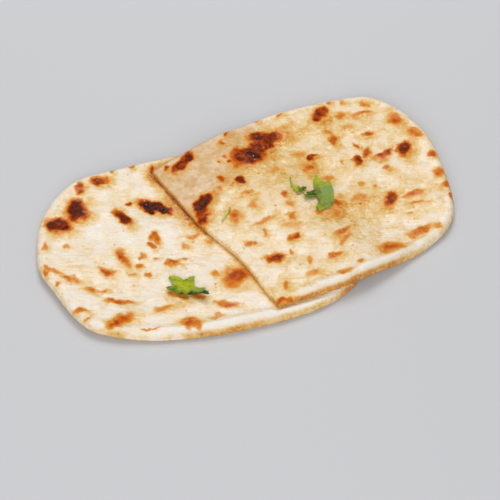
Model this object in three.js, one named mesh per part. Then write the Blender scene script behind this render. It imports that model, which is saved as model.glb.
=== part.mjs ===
// Garlic naan: one long flatbread cut across, its right half lapped over the left one, with coriander.
// Units are millimetres and +Z is up. The origin lies on the surface that the bread rests on, under the
// middle of the whole. +X runs along the bread and +Y from its front rim to its back rim.
import * as THREE from "three";

// Dough: its thickness between the blisters, and the puffed lip that runs round just inside the rim.
const CRUMB = 5.2;
const LIP_RISE = 1.5;
const LIP_FRONT = { extra: 1.3, from: 30, run: 40 };
const LIP_ENDS = { less: 0.6, from: 55, run: 55 };
const LIP_INSET = 4.4;
const LIP_WIDTH = 3.4;

// Edges: the baked rim is a soft round, the cut is steep and pressed a little thinner by the knife.
const RIM_ROUND = 4.4;
const RIM_FOOT = 0.48;
const RIM_TUCK = 0.9;
const RIM_TUCK_WIDTH = 3;
const CUT_ROUND = 6;
const CUT_FOOT = 0.46;
const CUT_TUCK = 0.2;
const CUT_TUCK_WIDTH = 1;

// Lap: the right half lies on the left one and comes down to the table beyond the left half's cut.
const LAP_GAP = 0.5;
const LAP_START = 5;
const LAP_RUN = 42;
const OPEN_START = 0.8;
const OPEN_RUN = 5;

// Curl: the far ends and the back rim stand a little off the table.
const LEFT_END_CURL = { rise: 2.6, from: 80, run: 56 };
const LEFT_BACK_CURL = { rise: 1.4, from: 38, run: 34 };
const RIGHT_END_CURL = { rise: 3.8, from: 90, run: 46 };
const RIGHT_BACK_CURL = { rise: 1, from: 45, run: 36 };

// Soft fold across the back corner of the right half, which lies lower beyond it.
const FOLD = { from: [-31, 1], to: [24, 39], drop: 1.2, run: 13, fadeX: 48, fadeRun: 30 };

// The right half's front cut corner is pressed thin, and its lip starts beyond it.
const PRESSED_CORNER = { at: [-11.5, -73], press: 1.6, run: 24 };

// Stretched dough is never flat: long shallow waves, each [wavelength, direction in degrees, phase, rise].
const SWELL = [
  [71, 25, 0.4, 0.55],
  [47, 118, 2.1, 0.42],
  [33, 64, 4.4, 0.32],
  [24, 155, 1.2, 0.22],
];
const RIM_SWELL = 0.35;
const RIM_CALM = 22;

// Rims in plan from back cut corner to front cut corner and the other way, both anticlockwise.
const LEFT_RIM = [
  [-2, 66], [-33, 69.5], [-60, 71.5], [-89, 72.5], [-105, 65.5], [-118, 54], [-128, 39], [-136, 11],
  [-132.5, -10], [-126, -35], [-116, -50], [-90, -64.5], [-58, -74], [-26, -79], [3, -80.5], [24, -78],
  [40, -72],
];
const RIGHT_RIM = [
  [-11.5, -73], [11.5, -74], [33, -74], [55, -71], [78, -66.5], [98, -60.5], [112, -53.5], [122.5, -41.5],
  [130.5, -17], [136, 17], [133.5, 39.5], [126, 58], [114, 72], [94, 79], [69, 80.5], [43, 80.5],
  [15, 75], [-12, 68], [-36, 61], [-46, 57.5],
];

// Cuts, each from where its rim ends to where it starts. The one that shows is drawn a little crooked.
const LEFT_CUT = [[40, -72], [-2, 66]];
const RIGHT_CUT = [
  [-46, 57.5], [-38.5, 26], [-32, 1], [-22.5, -23], [-17.3, -42.5], [-15, -58.5], [-11.5, -73],
];
const LEFT_MIDDLE = [-55, -3];
const RIGHT_MIDDLE = [50, 4];

// Oven blisters: [x, y, length, width, turn in degrees, rise].
const LEFT_BLISTERS = [
  [-100, 47, 19, 14, 80, 1.1],
  [-116, 39, 14, 13, 175, 1],
  [-54, 31, 24, 11, 135, 1.2],
  [-75, 32, 16, 7, 105, 0.9],
  [-85, -3, 16, 8, 95, 0.7],
  [-62, 6, 9, 7, 100, 0.6],
  [-59, -18, 9, 8, 150, 0.6],
  [-98, -9, 12, 7, 150, 0.5],
  [-26, -41, 20, 16, 10, 1],
  [-65, -64, 13, 11, 155, 0.8],
  [-102, -46, 19, 10, 10, 0.8],
  [-99, -33, 19, 6, 165, 0.5],
];
const RIGHT_BLISTERS = [
  [36, 60, 24, 14, 0, 1.2],
  [15, 46, 26, 16, 10, 1.2],
  [-25, 56, 20, 9, 40, 0.7],
  [-27, 11, 20, 12, 35, 0.8],
  [3, 27, 10, 9, 70, 1.3],
  [-10, 0, 11, 9, 70, 0.6],
  [79, 70, 15, 13, 60, 0.8],
  [57, 33, 9, 8, 30, 0.8],
  [51, 25, 10, 9, 60, 0.6],
  [76, 41, 13, 10, 75, 0.7],
  [102, 19, 19, 8, 15, 0.7],
  [117, 16, 17, 12, 60, 1],
  [123, 44, 15, 10, 105, 0.8],
  [90, -20, 15, 8, 45, 0.8],
  [0, -42, 12, 10, 160, 0.9],
  [94, -50, 18, 8, 5, 0.6],
  [70, -57, 17, 9, 5, 0.6],
];

// Mesh steps: points round the rim and along the cut, rings over the face, then rings close to the edge.
const RIM_STEPS = 75;
const CUT_STEPS = 27;
const RIM_RUNS = 300;
const CUT_RUNS = 60;
const FACE_RINGS = 17;
const FACE_SHARE = 0.84;
const EDGE_SHARES = [0.88, 0.915, 0.945, 0.968, 0.985, 0.995, 1];
const UNDER_EDGE_SHARES = [0.93, 0.965, 1];
const PLAIN_UNDER_RINGS = [[0, 1], [0.3, 34], [0.6, 68], [0.82, 102]];
const LAPPED_UNDER_SHARE = 0.9;

// Leaves: thickness, how far one lies above the bread, and its mesh steps.
const LEAF_THICK = 0.5;
const LEAF_LIFT = 0.6;
const LEAF_STEPS = 72;
const LEAF_FACE_RINGS = 4;
const LEAF_FACE_SHARE = 0.6;
const LEAF_EDGE_SHARES = [0.84, 1];

// Stems and narrow strips: points round one, then steps along it and thickness of each.
const STRIP_SIDES = 8;
const SPRIG_STEPS = 16;
const SPRIG_THICK = 0.8;
const STEM_STEPS = 10;
const STEM_THICK = 1;

const DEGREE = Math.PI / 180;

function clamp01(t) {
  return Math.min(Math.max(t, 0), 1);
}

// Rises from 0 to 1 with flat ends.
function ease(t) {
  const s = clamp01(t);
  return s * s * (3 - 2 * s);
}

// Rises from 0 to 1 along a quarter circle.
function quarterRound(t) {
  const s = 1 - clamp01(t);
  return Math.sqrt(1 - s * s);
}

function curl(along, { rise, from, run }) {
  return rise * ease((along - from) / run);
}

// The swell dies down towards the rim, where the lip takes over.
function swell(x, y, fromRim) {
  let sum = 0;
  for (const [wavelength, direction, phase, rise] of SWELL) {
    const along = x * Math.cos(direction * DEGREE) + y * Math.sin(direction * DEGREE);
    sum += rise * Math.sin((2 * Math.PI * along) / wavelength + phase);
  }
  return sum * (RIM_SWELL + (1 - RIM_SWELL) * ease(fromRim / RIM_CALM));
}

// Each blister is a dome that meets the crumb without a crease.
function blisterRise(blisters, x, y) {
  let sum = 0;
  for (const [cx, cy, length, width, turn, rise] of blisters) {
    const c = Math.cos(turn * DEGREE);
    const s = Math.sin(turn * DEGREE);
    const along = ((x - cx) * c + (y - cy) * s) / (length / 2);
    const across = ((y - cy) * c - (x - cx) * s) / (width / 2);
    const inside = Math.max(1 - along * along - across * across, 0);
    sum += rise * inside * inside;
  }
  return sum;
}

// The lip is fullest along the front rim and dies down towards both ends of the bread.
function lip(x, y, fromRim) {
  const rise = LIP_RISE + LIP_FRONT.extra * ease((-y - LIP_FRONT.from) / LIP_FRONT.run);
  const less = LIP_ENDS.less * ease((Math.abs(x) - LIP_ENDS.from) / LIP_ENDS.run);
  return rise * (1 - less) * Math.exp(-(((fromRim - LIP_INSET) / LIP_WIDTH) ** 2));
}

function points3(stops) {
  return stops.map(([x, y]) => new THREE.Vector3(x, y, 0));
}

function smoothLine(stops) {
  return new THREE.CatmullRomCurve3(points3(stops), false, "catmullrom", 0.5);
}

// An outline is a smooth rim closed by a cut; both are also kept as short straight runs for measuring.
function outline(rimStops, cutStops) {
  const rim = smoothLine(rimStops);
  const cut = smoothLine(cutStops);
  return { rim, cut, rimLine: rim.getSpacedPoints(RIM_RUNS), cutLine: cut.getSpacedPoints(CUT_RUNS) };
}

function distanceTo(line, x, y) {
  let nearest = Infinity;
  for (let i = 1; i < line.length; i++) {
    const a = line[i - 1];
    const dx = line[i].x - a.x;
    const dy = line[i].y - a.y;
    const t = clamp01(((x - a.x) * dx + (y - a.y) * dy) / (dx * dx + dy * dy));
    nearest = Math.min(nearest, Math.hypot(x - a.x - t * dx, y - a.y - t * dy));
  }
  return nearest;
}

// Distance of a plan point from an outline, or 0 inside it.
function outside({ rimLine, cutLine }, x, y) {
  const loop = [...rimLine, ...cutLine.slice(1)];
  let inside = false;
  for (let i = 1; i < loop.length; i++) {
    const a = loop[i - 1];
    const b = loop[i];
    if (a.y > y !== b.y > y && x < a.x + ((y - a.y) * (b.x - a.x)) / (b.y - a.y)) {
      inside = !inside;
    }
  }
  return inside ? 0 : distanceTo(loop, x, y);
}

// Signed distance of a plan point to the right of the line from a to b.
function rightOf([ax, ay], [bx, by], x, y) {
  const length = Math.hypot(bx - ax, by - ay);
  return ((x - ax) * (by - ay) - (y - ay) * (bx - ax)) / length;
}

// Share of the full thickness that is left near the rim and near the cut.
function edgeShare(fromRim, fromCut) {
  const atRim = RIM_FOOT + (1 - RIM_FOOT) * quarterRound(fromRim / RIM_ROUND);
  const atCut = CUT_FOOT + (1 - CUT_FOOT) * quarterRound(fromCut / CUT_ROUND);
  return Math.min(atRim, atCut);
}

// How far the underside turns up near the rim and near the cut.
function tuck(fromRim, fromCut) {
  const atRim = RIM_TUCK * (1 - quarterRound(fromRim / RIM_TUCK_WIDTH));
  const atCut = CUT_TUCK * (1 - quarterRound(fromCut / CUT_TUCK_WIDTH));
  return Math.max(atRim, atCut);
}

function leftBed(x, y) {
  return curl(-x, LEFT_END_CURL) + curl(y, LEFT_BACK_CURL);
}

// The right half's bed: the left half's face where it laps, the table beyond, then its own curl.
function rightBed(x, y) {
  const pastLeft = rightOf(...LEFT_CUT, x, y);
  const lapped = 1 - ease((pastLeft - LAP_START) / LAP_RUN);
  const ownCurl = curl(x, RIGHT_END_CURL) + curl(y, RIGHT_BACK_CURL) * (1 - lapped);
  return (CRUMB + LAP_GAP + leftBed(x, y)) * lapped + ownCurl;
}

// Under the right half the left one is pressed flat, so its relief fades out before the lap.
function leftRelief(x, y, fromRim) {
  const open = ease((outside(RIGHT_EDGE, x, y) - OPEN_START) / OPEN_RUN);
  return open * (lip(x, y, fromRim) + swell(x, y, fromRim) + blisterRise(LEFT_BLISTERS, x, y));
}

function rightRelief(x, y, fromRim) {
  const beyondFold = -rightOf(FOLD.from, FOLD.to, x, y);
  const fold = FOLD.drop * ease(beyondFold / FOLD.run) * ease((FOLD.fadeX - x) / FOLD.fadeRun);
  const [cornerX, cornerY] = PRESSED_CORNER.at;
  const pressed = Math.exp(-((Math.hypot(x - cornerX, y - cornerY) / PRESSED_CORNER.run) ** 2));
  const ownLip = lip(x, y, fromRim) * (1 - pressed);
  const raised = ownLip + swell(x, y, fromRim) + blisterRise(RIGHT_BLISTERS, x, y);
  return raised - fold - PRESSED_CORNER.press * pressed;
}

const RIGHT_EDGE = outline(RIGHT_RIM, RIGHT_CUT);

const leftHalf = {
  name: "naan_half_left",
  edge: outline(LEFT_RIM, LEFT_CUT),
  middle: LEFT_MIDDLE,
  bed: leftBed,
  relief: leftRelief,
};
const rightHalf = {
  name: "naan_half_right",
  edge: RIGHT_EDGE,
  middle: RIGHT_MIDDLE,
  bed: rightBed,
  relief: rightRelief,
};

function faceHeight(half, x, y, fromRim, fromCut) {
  return half.bed(x, y) + (CRUMB + half.relief(x, y, fromRim)) * edgeShare(fromRim, fromCut);
}

// Height of a half's face at any plan point, for what lies on it.
function faceAt(half, x, y) {
  const fromRim = distanceTo(half.edge.rimLine, x, y);
  const fromCut = distanceTo(half.edge.cutLine, x, y);
  return faceHeight(half, x, y, fromRim, fromCut);
}

// Joins a run of closed rings, from a single first point to a single last point, into one closed skin.
// Rings run anticlockwise seen from the first point. Up to the widest ring ties in spacing go to the
// next ring, after it to the earlier one, so that upper and lower faces are split alike.
function skin(rings, widest) {
  const positions = rings.flat().flat();
  const triangles = [];
  let start = 0;
  for (let r = 1; r < rings.length; r++) {
    const near = rings[r - 1].length;
    const far = rings[r].length;
    const nearAt = (i) => start + (i % near);
    const farAt = (j) => start + near + (j % far);
    let i = near === 1 ? 1 : 0;
    let j = far === 1 ? 1 : 0;
    while (i < near || j < far) {
      const nextNear = (i + 1) / near;
      const nextFar = (j + 1) / far;
      const farFirst = nextFar < nextNear || (nextFar === nextNear && r <= widest);
      if (i >= near || (j < far && farFirst)) {
        triangles.push(nearAt(i), farAt(j), farAt(j + 1));
        j++;
      } else {
        triangles.push(nearAt(i), farAt(j), nearAt(i + 1));
        i++;
      }
    }
    start += near;
  }
  const geometry = new THREE.BufferGeometry();
  geometry.setAttribute("position", new THREE.Float32BufferAttribute(positions, 3));
  geometry.setIndex(triangles);
  geometry.computeVertexNormals();
  return geometry;
}

// Rings that gain six points each, so that the triangles over a face stay of one size.
function evenRings(count, share) {
  const rings = [[0, 1]];
  for (let k = 1; k <= count; k++) {
    rings.push([(share * k) / count, 6 * k]);
  }
  return rings;
}

function halfGeometry(half, underRings) {
  const total = RIM_STEPS + CUT_STEPS;
  const rimShare = RIM_STEPS / total;
  const { rim, cut, rimLine, cutLine } = half.edge;
  const [mx, my] = half.middle;

  // One ring: the outline drawn towards the middle by the given share, at the height of face or bed.
  function ring([share, count], height) {
    const points = [];
    for (let i = 0; i < count; i++) {
      const f = i / count;
      const onRim = f <= rimShare;
      const onCut = f >= rimShare || i === 0;
      const edge = onRim ? rim.getPointAt(f / rimShare) : cut.getPointAt((f - rimShare) / (1 - rimShare));
      const x = mx + (edge.x - mx) * share;
      const y = my + (edge.y - my) * share;
      const fromRim = share === 1 && onRim ? 0 : distanceTo(rimLine, x, y);
      const fromCut = share === 1 && onCut ? 0 : distanceTo(cutLine, x, y);
      points.push([x, y, height(x, y, fromRim, fromCut)]);
    }
    return points;
  }

  const upper = [...evenRings(FACE_RINGS, FACE_SHARE), ...EDGE_SHARES.map((share) => [share, total])];
  const lower = [...underRings, ...UNDER_EDGE_SHARES.map((share) => [share, total])].reverse();
  const face = upper.map((r) => ring(r, (x, y, a, b) => faceHeight(half, x, y, a, b)));
  const under = lower.map((r) => ring(r, (x, y, a, b) => half.bed(x, y) + tuck(a, b)));
  return skin([...face, ...under], face.length);
}

// A thin wavy leaf lying on a half: it cups up towards its edge, ripples, and lifts off on one side.
function leafGeometry(half, shape) {
  const [cx, cy] = shape.middle;
  const edge = new THREE.CatmullRomCurve3(points3(shape.edge), true, "catmullrom", 0.5);
  const towards = shape.lift.towards * DEGREE;
  const edgeRings = LEAF_EDGE_SHARES.map((share) => [share, LEAF_STEPS]);
  const rings = [...evenRings(LEAF_FACE_RINGS, LEAF_FACE_SHARE), ...edgeRings];

  function ring([share, count], above) {
    const points = [];
    for (let i = 0; i < count; i++) {
      const rim = edge.getPointAt(i / count);
      const x = rim.x * share;
      const y = rim.y * share;
      const cup = shape.cup * share * share;
      const towardsLift = x * Math.cos(towards) + y * Math.sin(towards);
      const lift = shape.lift.rise * clamp01(towardsLift / shape.lift.run) ** 2;
      const ripple = shape.ripple * share * (1 + Math.sin(shape.waves * Math.atan2(rim.y, rim.x)));
      const below = faceAt(half, cx + x, cy + y);
      points.push([cx + x, cy + y, below + LEAF_LIFT + cup + lift + ripple + above]);
    }
    return points;
  }

  const upper = rings.map((r) => ring(r, LEAF_THICK));
  const lower = rings.map((r) => ring(r, 0)).reverse();
  return skin([...upper, ...lower], upper.length);
}

// A stem or narrow strip of leaf along its stops on a half, coming to a point at both ends.
function stripGeometry(half, stops, steps, thick) {
  const line = new THREE.CatmullRomCurve3(stops.map(([x, y, , lift]) => new THREE.Vector3(x, y, lift)));
  const widths = new THREE.CatmullRomCurve3(stops.map(([, , width], i) => new THREE.Vector3(i, width, 0)));
  const rings = [];
  for (let i = 0; i <= steps; i++) {
    const t = i / steps;
    const p = line.getPoint(t);
    const along = line.getTangent(t);
    const side = new THREE.Vector3(along.y, -along.x, 0).normalize();
    const z = faceAt(half, p.x, p.y) + p.z + thick / 2;
    if (i === 0 || i === steps) {
      rings.push([[p.x, p.y, z]]);
      continue;
    }
    const reach = widths.getPoint(t).y / 2;
    const loop = [];
    for (let k = 0; k < STRIP_SIDES; k++) {
      const angle = (2 * Math.PI * k) / STRIP_SIDES;
      const out = reach * Math.cos(angle);
      loop.push([p.x + side.x * out, p.y + side.y * out, z + (thick / 2) * Math.sin(angle)]);
    }
    rings.push(loop);
  }
  return skin(rings, rings.length);
}

// A leaf's edge is drawn round its middle, anticlockwise, through the tips of its lobes and their notches.
const LEFT_LEAF = {
  middle: [-57.8, -39.4],
  edge: [
    [10.6, -9.7], [9.1, -6.7], [10.7, -5.3], [8.4, -4.1], [6.7, -3], [5.1, -1.1], [5.3, 2], [7.1, 5.5],
    [5, 6.6], [2.5, 6], [0.2, 5.6], [-1.2, 8.2], [-3.1, 10.1], [-4.7, 11.6], [-7.8, 11.3], [-7, 7.8],
    [-7.2, 4.3], [-9.8, 4.9], [-11.8, 4.1], [-10.2, 1.7], [-8.2, -0.1], [-6.4, -1.8], [-4.3, -4.1],
    [-1.9, -5.6], [1, -6.6], [4.2, -8.3], [7.3, -10.2], [9.6, -11.6],
  ],
  cup: 0.7,
  ripple: 0.4,
  waves: 5,
  lift: { rise: 2.4, towards: -85, run: 10 },
};
const RIGHT_LEAF = {
  middle: [49.2, -2],
  edge: [
    [6.7, -1.8], [7.9, 1.5], [8.3, 5], [9, 8.2], [7.1, 10.3], [4.5, 11.8], [3.7, 14], [3.9, 16.6],
    [3.3, 18.4], [1.3, 16.9], [-0.7, 14.4], [-2.2, 11.3], [-2.9, 7.8], [-3.3, 5.4], [-5.8, 5.1],
    [-10.2, 4.7], [-9.8, 2.9], [-12.3, 2.6], [-13.1, 0.3], [-11.2, -1.2], [-8.7, -1], [-5.8, -0.8],
    [-4.9, -3], [-6.1, -5.9], [-8.2, -8.3], [-10, -10.4], [-9, -12.5], [-6.7, -13.2], [-4, -12.1],
    [-1.2, -11.8], [1.4, -9.7], [4.5, -7], [5.1, -4.3],
  ],
  cup: 0.8,
  ripple: 0.4,
  waves: 4,
  lift: { rise: 1.2, towards: 8, run: 10 },
};

// Each stop of a strip is [x, y, width, lift off the bread].
const SPRIG = [
  [34.8, 19, 0.9, 1], [33.4, 14, 1.2, 1.2], [32.8, 9.6, 1.8, 1.2], [35, 5.8, 4.6, 1], [38.4, 6.2, 3.2, 1.1],
  [41.4, 7.4, 1.4, 1.3],
];
const STEM = [[-20.5, -1.5, 1, 0.8], [-15.7, 2.9, 1.3, 0.8], [-10.8, 7.7, 1.1, 0.8]];

const bakedDough = new THREE.MeshStandardMaterial({ color: 0xecd3a8, roughness: 0.55, metalness: 0 });
const leafGreen = new THREE.MeshStandardMaterial({ color: 0x7d9a2c, roughness: 0.5, metalness: 0 });
const stemGreen = new THREE.MeshStandardMaterial({ color: 0xa9b45a, roughness: 0.5, metalness: 0 });

function named(name, geometry, material) {
  const mesh = new THREE.Mesh(geometry, material);
  mesh.name = name;
  return mesh;
}

const naan = new THREE.Group();
const lappedUnderRings = evenRings(FACE_RINGS, LAPPED_UNDER_SHARE);
naan.add(named(leftHalf.name, halfGeometry(leftHalf, PLAIN_UNDER_RINGS), bakedDough));
naan.add(named(rightHalf.name, halfGeometry(rightHalf, lappedUnderRings), bakedDough));
naan.add(named("coriander_leaf_left", leafGeometry(leftHalf, LEFT_LEAF), leafGreen));
naan.add(named("coriander_leaf_right", leafGeometry(rightHalf, RIGHT_LEAF), leafGreen));
naan.add(named("coriander_sprig", stripGeometry(rightHalf, SPRIG, SPRIG_STEPS, SPRIG_THICK), leafGreen));
naan.add(named("coriander_stem", stripGeometry(rightHalf, STEM, STEM_STEPS, STEM_THICK), stemGreen));

export default naan;
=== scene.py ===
# %% [markdown]
# Garlic naan, cut across and lapped, with coriander.
#
# A naan is a sheet of soft dough, stretched by hand and slapped on the wall of a clay oven. Bubbles rise in
# it and scorch, the rim puffs into a pale lip, and melted butter is brushed over the hot crust. This one was
# cut across and its right half was pushed a little over its left half.
#
# The solids give the size, the outlines and the larger relief. This script repeats their formulas on a much
# finer grid, so that small bubbles, torn blisters and an open cut can be real relief, and then paints what
# the oven did with procedural materials. Lengths are in millimetres until a mesh is made.

# %% Load the frame
import math

import bpy
import numpy as np
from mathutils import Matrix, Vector


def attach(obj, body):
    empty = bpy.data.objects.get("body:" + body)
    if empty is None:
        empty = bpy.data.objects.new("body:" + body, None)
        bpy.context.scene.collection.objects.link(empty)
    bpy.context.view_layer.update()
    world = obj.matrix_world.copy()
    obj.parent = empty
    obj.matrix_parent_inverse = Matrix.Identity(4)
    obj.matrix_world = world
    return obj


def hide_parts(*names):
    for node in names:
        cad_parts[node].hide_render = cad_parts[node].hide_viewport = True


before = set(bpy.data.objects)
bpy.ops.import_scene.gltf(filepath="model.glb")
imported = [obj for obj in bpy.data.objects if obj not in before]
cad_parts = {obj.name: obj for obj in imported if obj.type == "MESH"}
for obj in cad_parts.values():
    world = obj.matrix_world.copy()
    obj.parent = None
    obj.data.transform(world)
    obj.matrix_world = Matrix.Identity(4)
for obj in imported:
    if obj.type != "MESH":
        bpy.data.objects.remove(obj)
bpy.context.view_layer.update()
print("solids:", ", ".join(sorted(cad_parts)))

# %% [markdown]
# Soft steps.
#
# Nearly every form in food is a soft step from one height to another. One could draw each with a curve
# editor, but a short formula can be used for whole arrays of points at once, and gives the same answer
# wherever the grid happens to have its points. Two steps are enough here: one with flat ends, and one that
# starts steeply as the side of a round edge does.

# %% Soft steps
MM = 0.001


def ease(t):
    """Rises from 0 to 1 with flat ends: three times the square less twice the cube."""
    s = np.clip(t, 0, 1)
    return s * s * (3 - 2 * s)


def rising(along, start, run):
    """Eases from 0 to 1 as along goes on from start over run."""
    return ease((along - start) / run)


def climb(along, rise, start, run):
    """Eases from 0 up to the full rise as along goes on from start over run."""
    return rise * rising(along, start, run)


def quarter_round(t):
    """Rises from 0 to 1 along a quarter circle, steep at first: root of 1 less (1 - t) squared."""
    s = 1 - np.clip(t, 0, 1)
    return np.sqrt(1 - s * s)


def bell(t):
    """Falls from 1 to 0 on both sides of 0: e to the power of minus t squared."""
    return np.exp(-t * t)


print("half way up the steps:", ease(0.5), round(float(quarter_round(0.5)), 3))

# %% [markdown]
# Outlines.
#
# Each half has a hand-shaped rim and one straight cut. A few stops on each give the shape, and a smooth line
# through them gives the rest. The line is the usual Catmull-Rom curve, worked out with numpy so that it can
# be sampled evenly by length: even steps keep the faces of the crust all of one size.

# %% Outlines
LEFT_RIM = [
    (-2, 66), (-33, 69.5), (-60, 71.5), (-89, 72.5), (-105, 65.5), (-118, 54), (-128, 39), (-136, 11),
    (-132.5, -10), (-126, -35), (-116, -50), (-90, -64.5), (-58, -74), (-26, -79), (3, -80.5), (24, -78),
    (40, -72),
]
LEFT_CUT = [(40, -72), (-2, 66)]
RIGHT_RIM = [
    (-11.5, -73), (11.5, -74), (33, -74), (55, -71), (78, -66.5), (98, -60.5), (112, -53.5), (122.5, -41.5),
    (130.5, -17), (136, 17), (133.5, 39.5), (126, 58), (114, 72), (94, 79), (69, 80.5), (43, 80.5), (15, 75),
    (-12, 68), (-36, 61), (-46, 57.5),
]
RIGHT_CUT = [
    (-46, 57.5), (-38.5, 26), (-32, 1), (-22.5, -23), (-17.3, -42.5), (-15, -58.5), (-11.5, -73),
]
SPAN_STEPS = 40
RIM_RUNS = 300
CUT_RUNS = 60


def smooth_line(stops, closed=False):
    """A dense line through the stops: on each span, half of 2b + (c - a)t + (2a - 5b + 4c - d)t squared
    + (3b - a - 3c + d)t cubed, for the span from b to c with neighbours a and d."""
    p = np.array(stops, float)
    p = np.vstack([p[-1], p, p[:2]]) if closed else np.vstack([2 * p[0] - p[1], p, 2 * p[-1] - p[-2]])
    a, b, c, d = (p[k : len(p) - 3 + k, None, :] for k in range(4))
    t = np.linspace(0, 1, SPAN_STEPS, endpoint=False)[:, None]
    spans = 0.5 * (
        2 * b + (c - a) * t + (2 * a - 5 * b + 4 * c - d) * t**2 + (3 * b - a - 3 * c + d) * t**3
    )
    return np.vstack([spans.reshape(-1, p.shape[1]), p[-2]])


def spaced(line, count):
    """That many points along a line, an even length apart."""
    step = np.linalg.norm(np.diff(line[:, :2], axis=0), axis=1)
    along = np.concatenate([[0], np.cumsum(step)])
    at = np.linspace(0, along[-1], count)
    return np.column_stack([np.interp(at, along, column) for column in line.T])


class Half:
    """One half of the naan: its outlines, and the point that the rings of its grid close in on."""

    def __init__(self, name, rim, cut, middle):
        self.name = name
        self.rim = smooth_line(rim)
        self.cut = smooth_line(cut)
        self.rim_line = spaced(self.rim, RIM_RUNS + 1)
        self.cut_line = spaced(self.cut, CUT_RUNS + 1)
        self.middle = middle


left = Half("naan_half_left", LEFT_RIM, LEFT_CUT, (-55, -3))
right = Half("naan_half_right", RIGHT_RIM, RIGHT_CUT, (50, 4))
for half in (left, right):
    length = np.linalg.norm(np.diff(half.rim, axis=0), axis=1).sum()
    print(half.name, "rim", round(float(length)), "mm")

# %% [markdown]
# Distances.
#
# The lip, the round of the rim, the press of the knife and the browning all depend on how far a spot is from
# the rim or from the cut. Blender has tools that find the nearest point of a mesh, but with a line of
# straight runs the sum is plain: the foot of the perpendicular, held to the run's ends. Blocks of points keep
# the arrays small enough for memory.

# %% Distances
BLOCK = 4000


def distance_to(line, x, y):
    """Distance of each point from a line's nearest straight run."""
    start, run = line[:-1], np.diff(line, axis=0)
    squared = (run**2).sum(axis=1)
    px, py = x.ravel(), y.ravel()
    nearest = np.empty(px.size)
    for first in range(0, px.size, BLOCK):
        part = slice(first, first + BLOCK)
        dx, dy = px[part, None] - start[:, 0], py[part, None] - start[:, 1]
        t = np.clip((dx * run[:, 0] + dy * run[:, 1]) / squared, 0, 1)
        gap = (dx - t * run[:, 0]) ** 2 + (dy - t * run[:, 1]) ** 2
        nearest[part] = np.sqrt(gap.min(axis=1))
    return nearest.reshape(x.shape)


def outside(half, x, y):
    """Distance from a half's whole outline, or 0 inside it. A point is inside when a line drawn from it
    along +X crosses the outline an odd number of times."""
    loop = np.vstack([half.rim_line, half.cut_line[1:]])
    a, b = loop[:-1], loop[1:]
    slope = (b[:, 0] - a[:, 0]) / np.where(b[:, 1] == a[:, 1], 1, b[:, 1] - a[:, 1])
    px, py = x.ravel(), y.ravel()
    inside = np.empty(px.size, bool)
    for first in range(0, px.size, BLOCK):
        part = slice(first, first + BLOCK)
        sx, sy = px[part, None], py[part, None]
        crosses = ((a[:, 1] > sy) != (b[:, 1] > sy)) & (sx < a[:, 0] + (sy - a[:, 1]) * slope)
        inside[part] = crosses.sum(axis=1) % 2 == 1
    return np.where(inside.reshape(x.shape), 0, distance_to(loop, x, y))


def right_of(a, b, x, y):
    """Signed distance of each point to the right of the line from a to b."""
    (ax, ay), (bx, by) = a, b
    return ((x - ax) * (by - ay) - (y - ay) * (bx - ax)) / math.hypot(bx - ax, by - ay)


origin = np.zeros(1), np.zeros(1)
print("from the middle to the right half's cut:", distance_to(right.cut_line, *origin).round(1), "mm")

# %% [markdown]
# How the bread lies.
#
# The left half lies on the table with its far end curled up a little. The right half starts on top of the
# left one and comes down to the table beyond it. One could drop a sheet with the cloth simulator, but baked
# dough keeps its shape, and the solids already say how it lies. So the bed under each half is the same
# formula here.

# %% How the bread lies
CRUMB = 5.2
LAP_GAP = 0.5
LAP_START = 5
LAP_RUN = 42
OPEN_START = 0.8
OPEN_RUN = 5
# Each curl is (rise, start, run), measured from the middle outwards.
LEFT_END_CURL = (2.6, 80, 56)
LEFT_BACK_CURL = (1.4, 38, 34)
RIGHT_END_CURL = (3.8, 90, 46)
RIGHT_BACK_CURL = (1, 45, 36)


def left_bed(x, y):
    """Height of the left half's underside: its far end and its back rim curl up."""
    return climb(-x, *LEFT_END_CURL) + climb(y, *LEFT_BACK_CURL)


def right_bed(x, y):
    """Height of the right half's underside: the left half's face where it laps, easing to the table."""
    lapped = 1 - rising(right_of(*LEFT_CUT, x, y), LAP_START, LAP_RUN)
    own_curl = climb(x, *RIGHT_END_CURL) + climb(y, *RIGHT_BACK_CURL) * (1 - lapped)
    return (CRUMB + LAP_GAP + left_bed(x, y)) * lapped + own_curl


left.bed = left_bed
right.bed = right_bed
print("the right half starts", round(float(right_bed(-40.0, 0.0)), 1), "mm up, on the left one")

# %% [markdown]
# Large relief.
#
# A lip runs round inside the rim, the dough swells in long shallow waves, and the larger bubbles are domes
# that meet the crumb without a crease. These are in the solids too, so the numbers are the same. Sculpting
# would give more freedom but could not be repeated.

# %% Swells and blisters
RIM_SWELL = 0.35
RIM_CALM = 22
# Each wave is (wavelength, direction in degrees, phase, rise).
SWELL = [(71, 25, 0.4, 0.55), (47, 118, 2.1, 0.42), (33, 64, 4.4, 0.32), (24, 155, 1.2, 0.22)]
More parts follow.
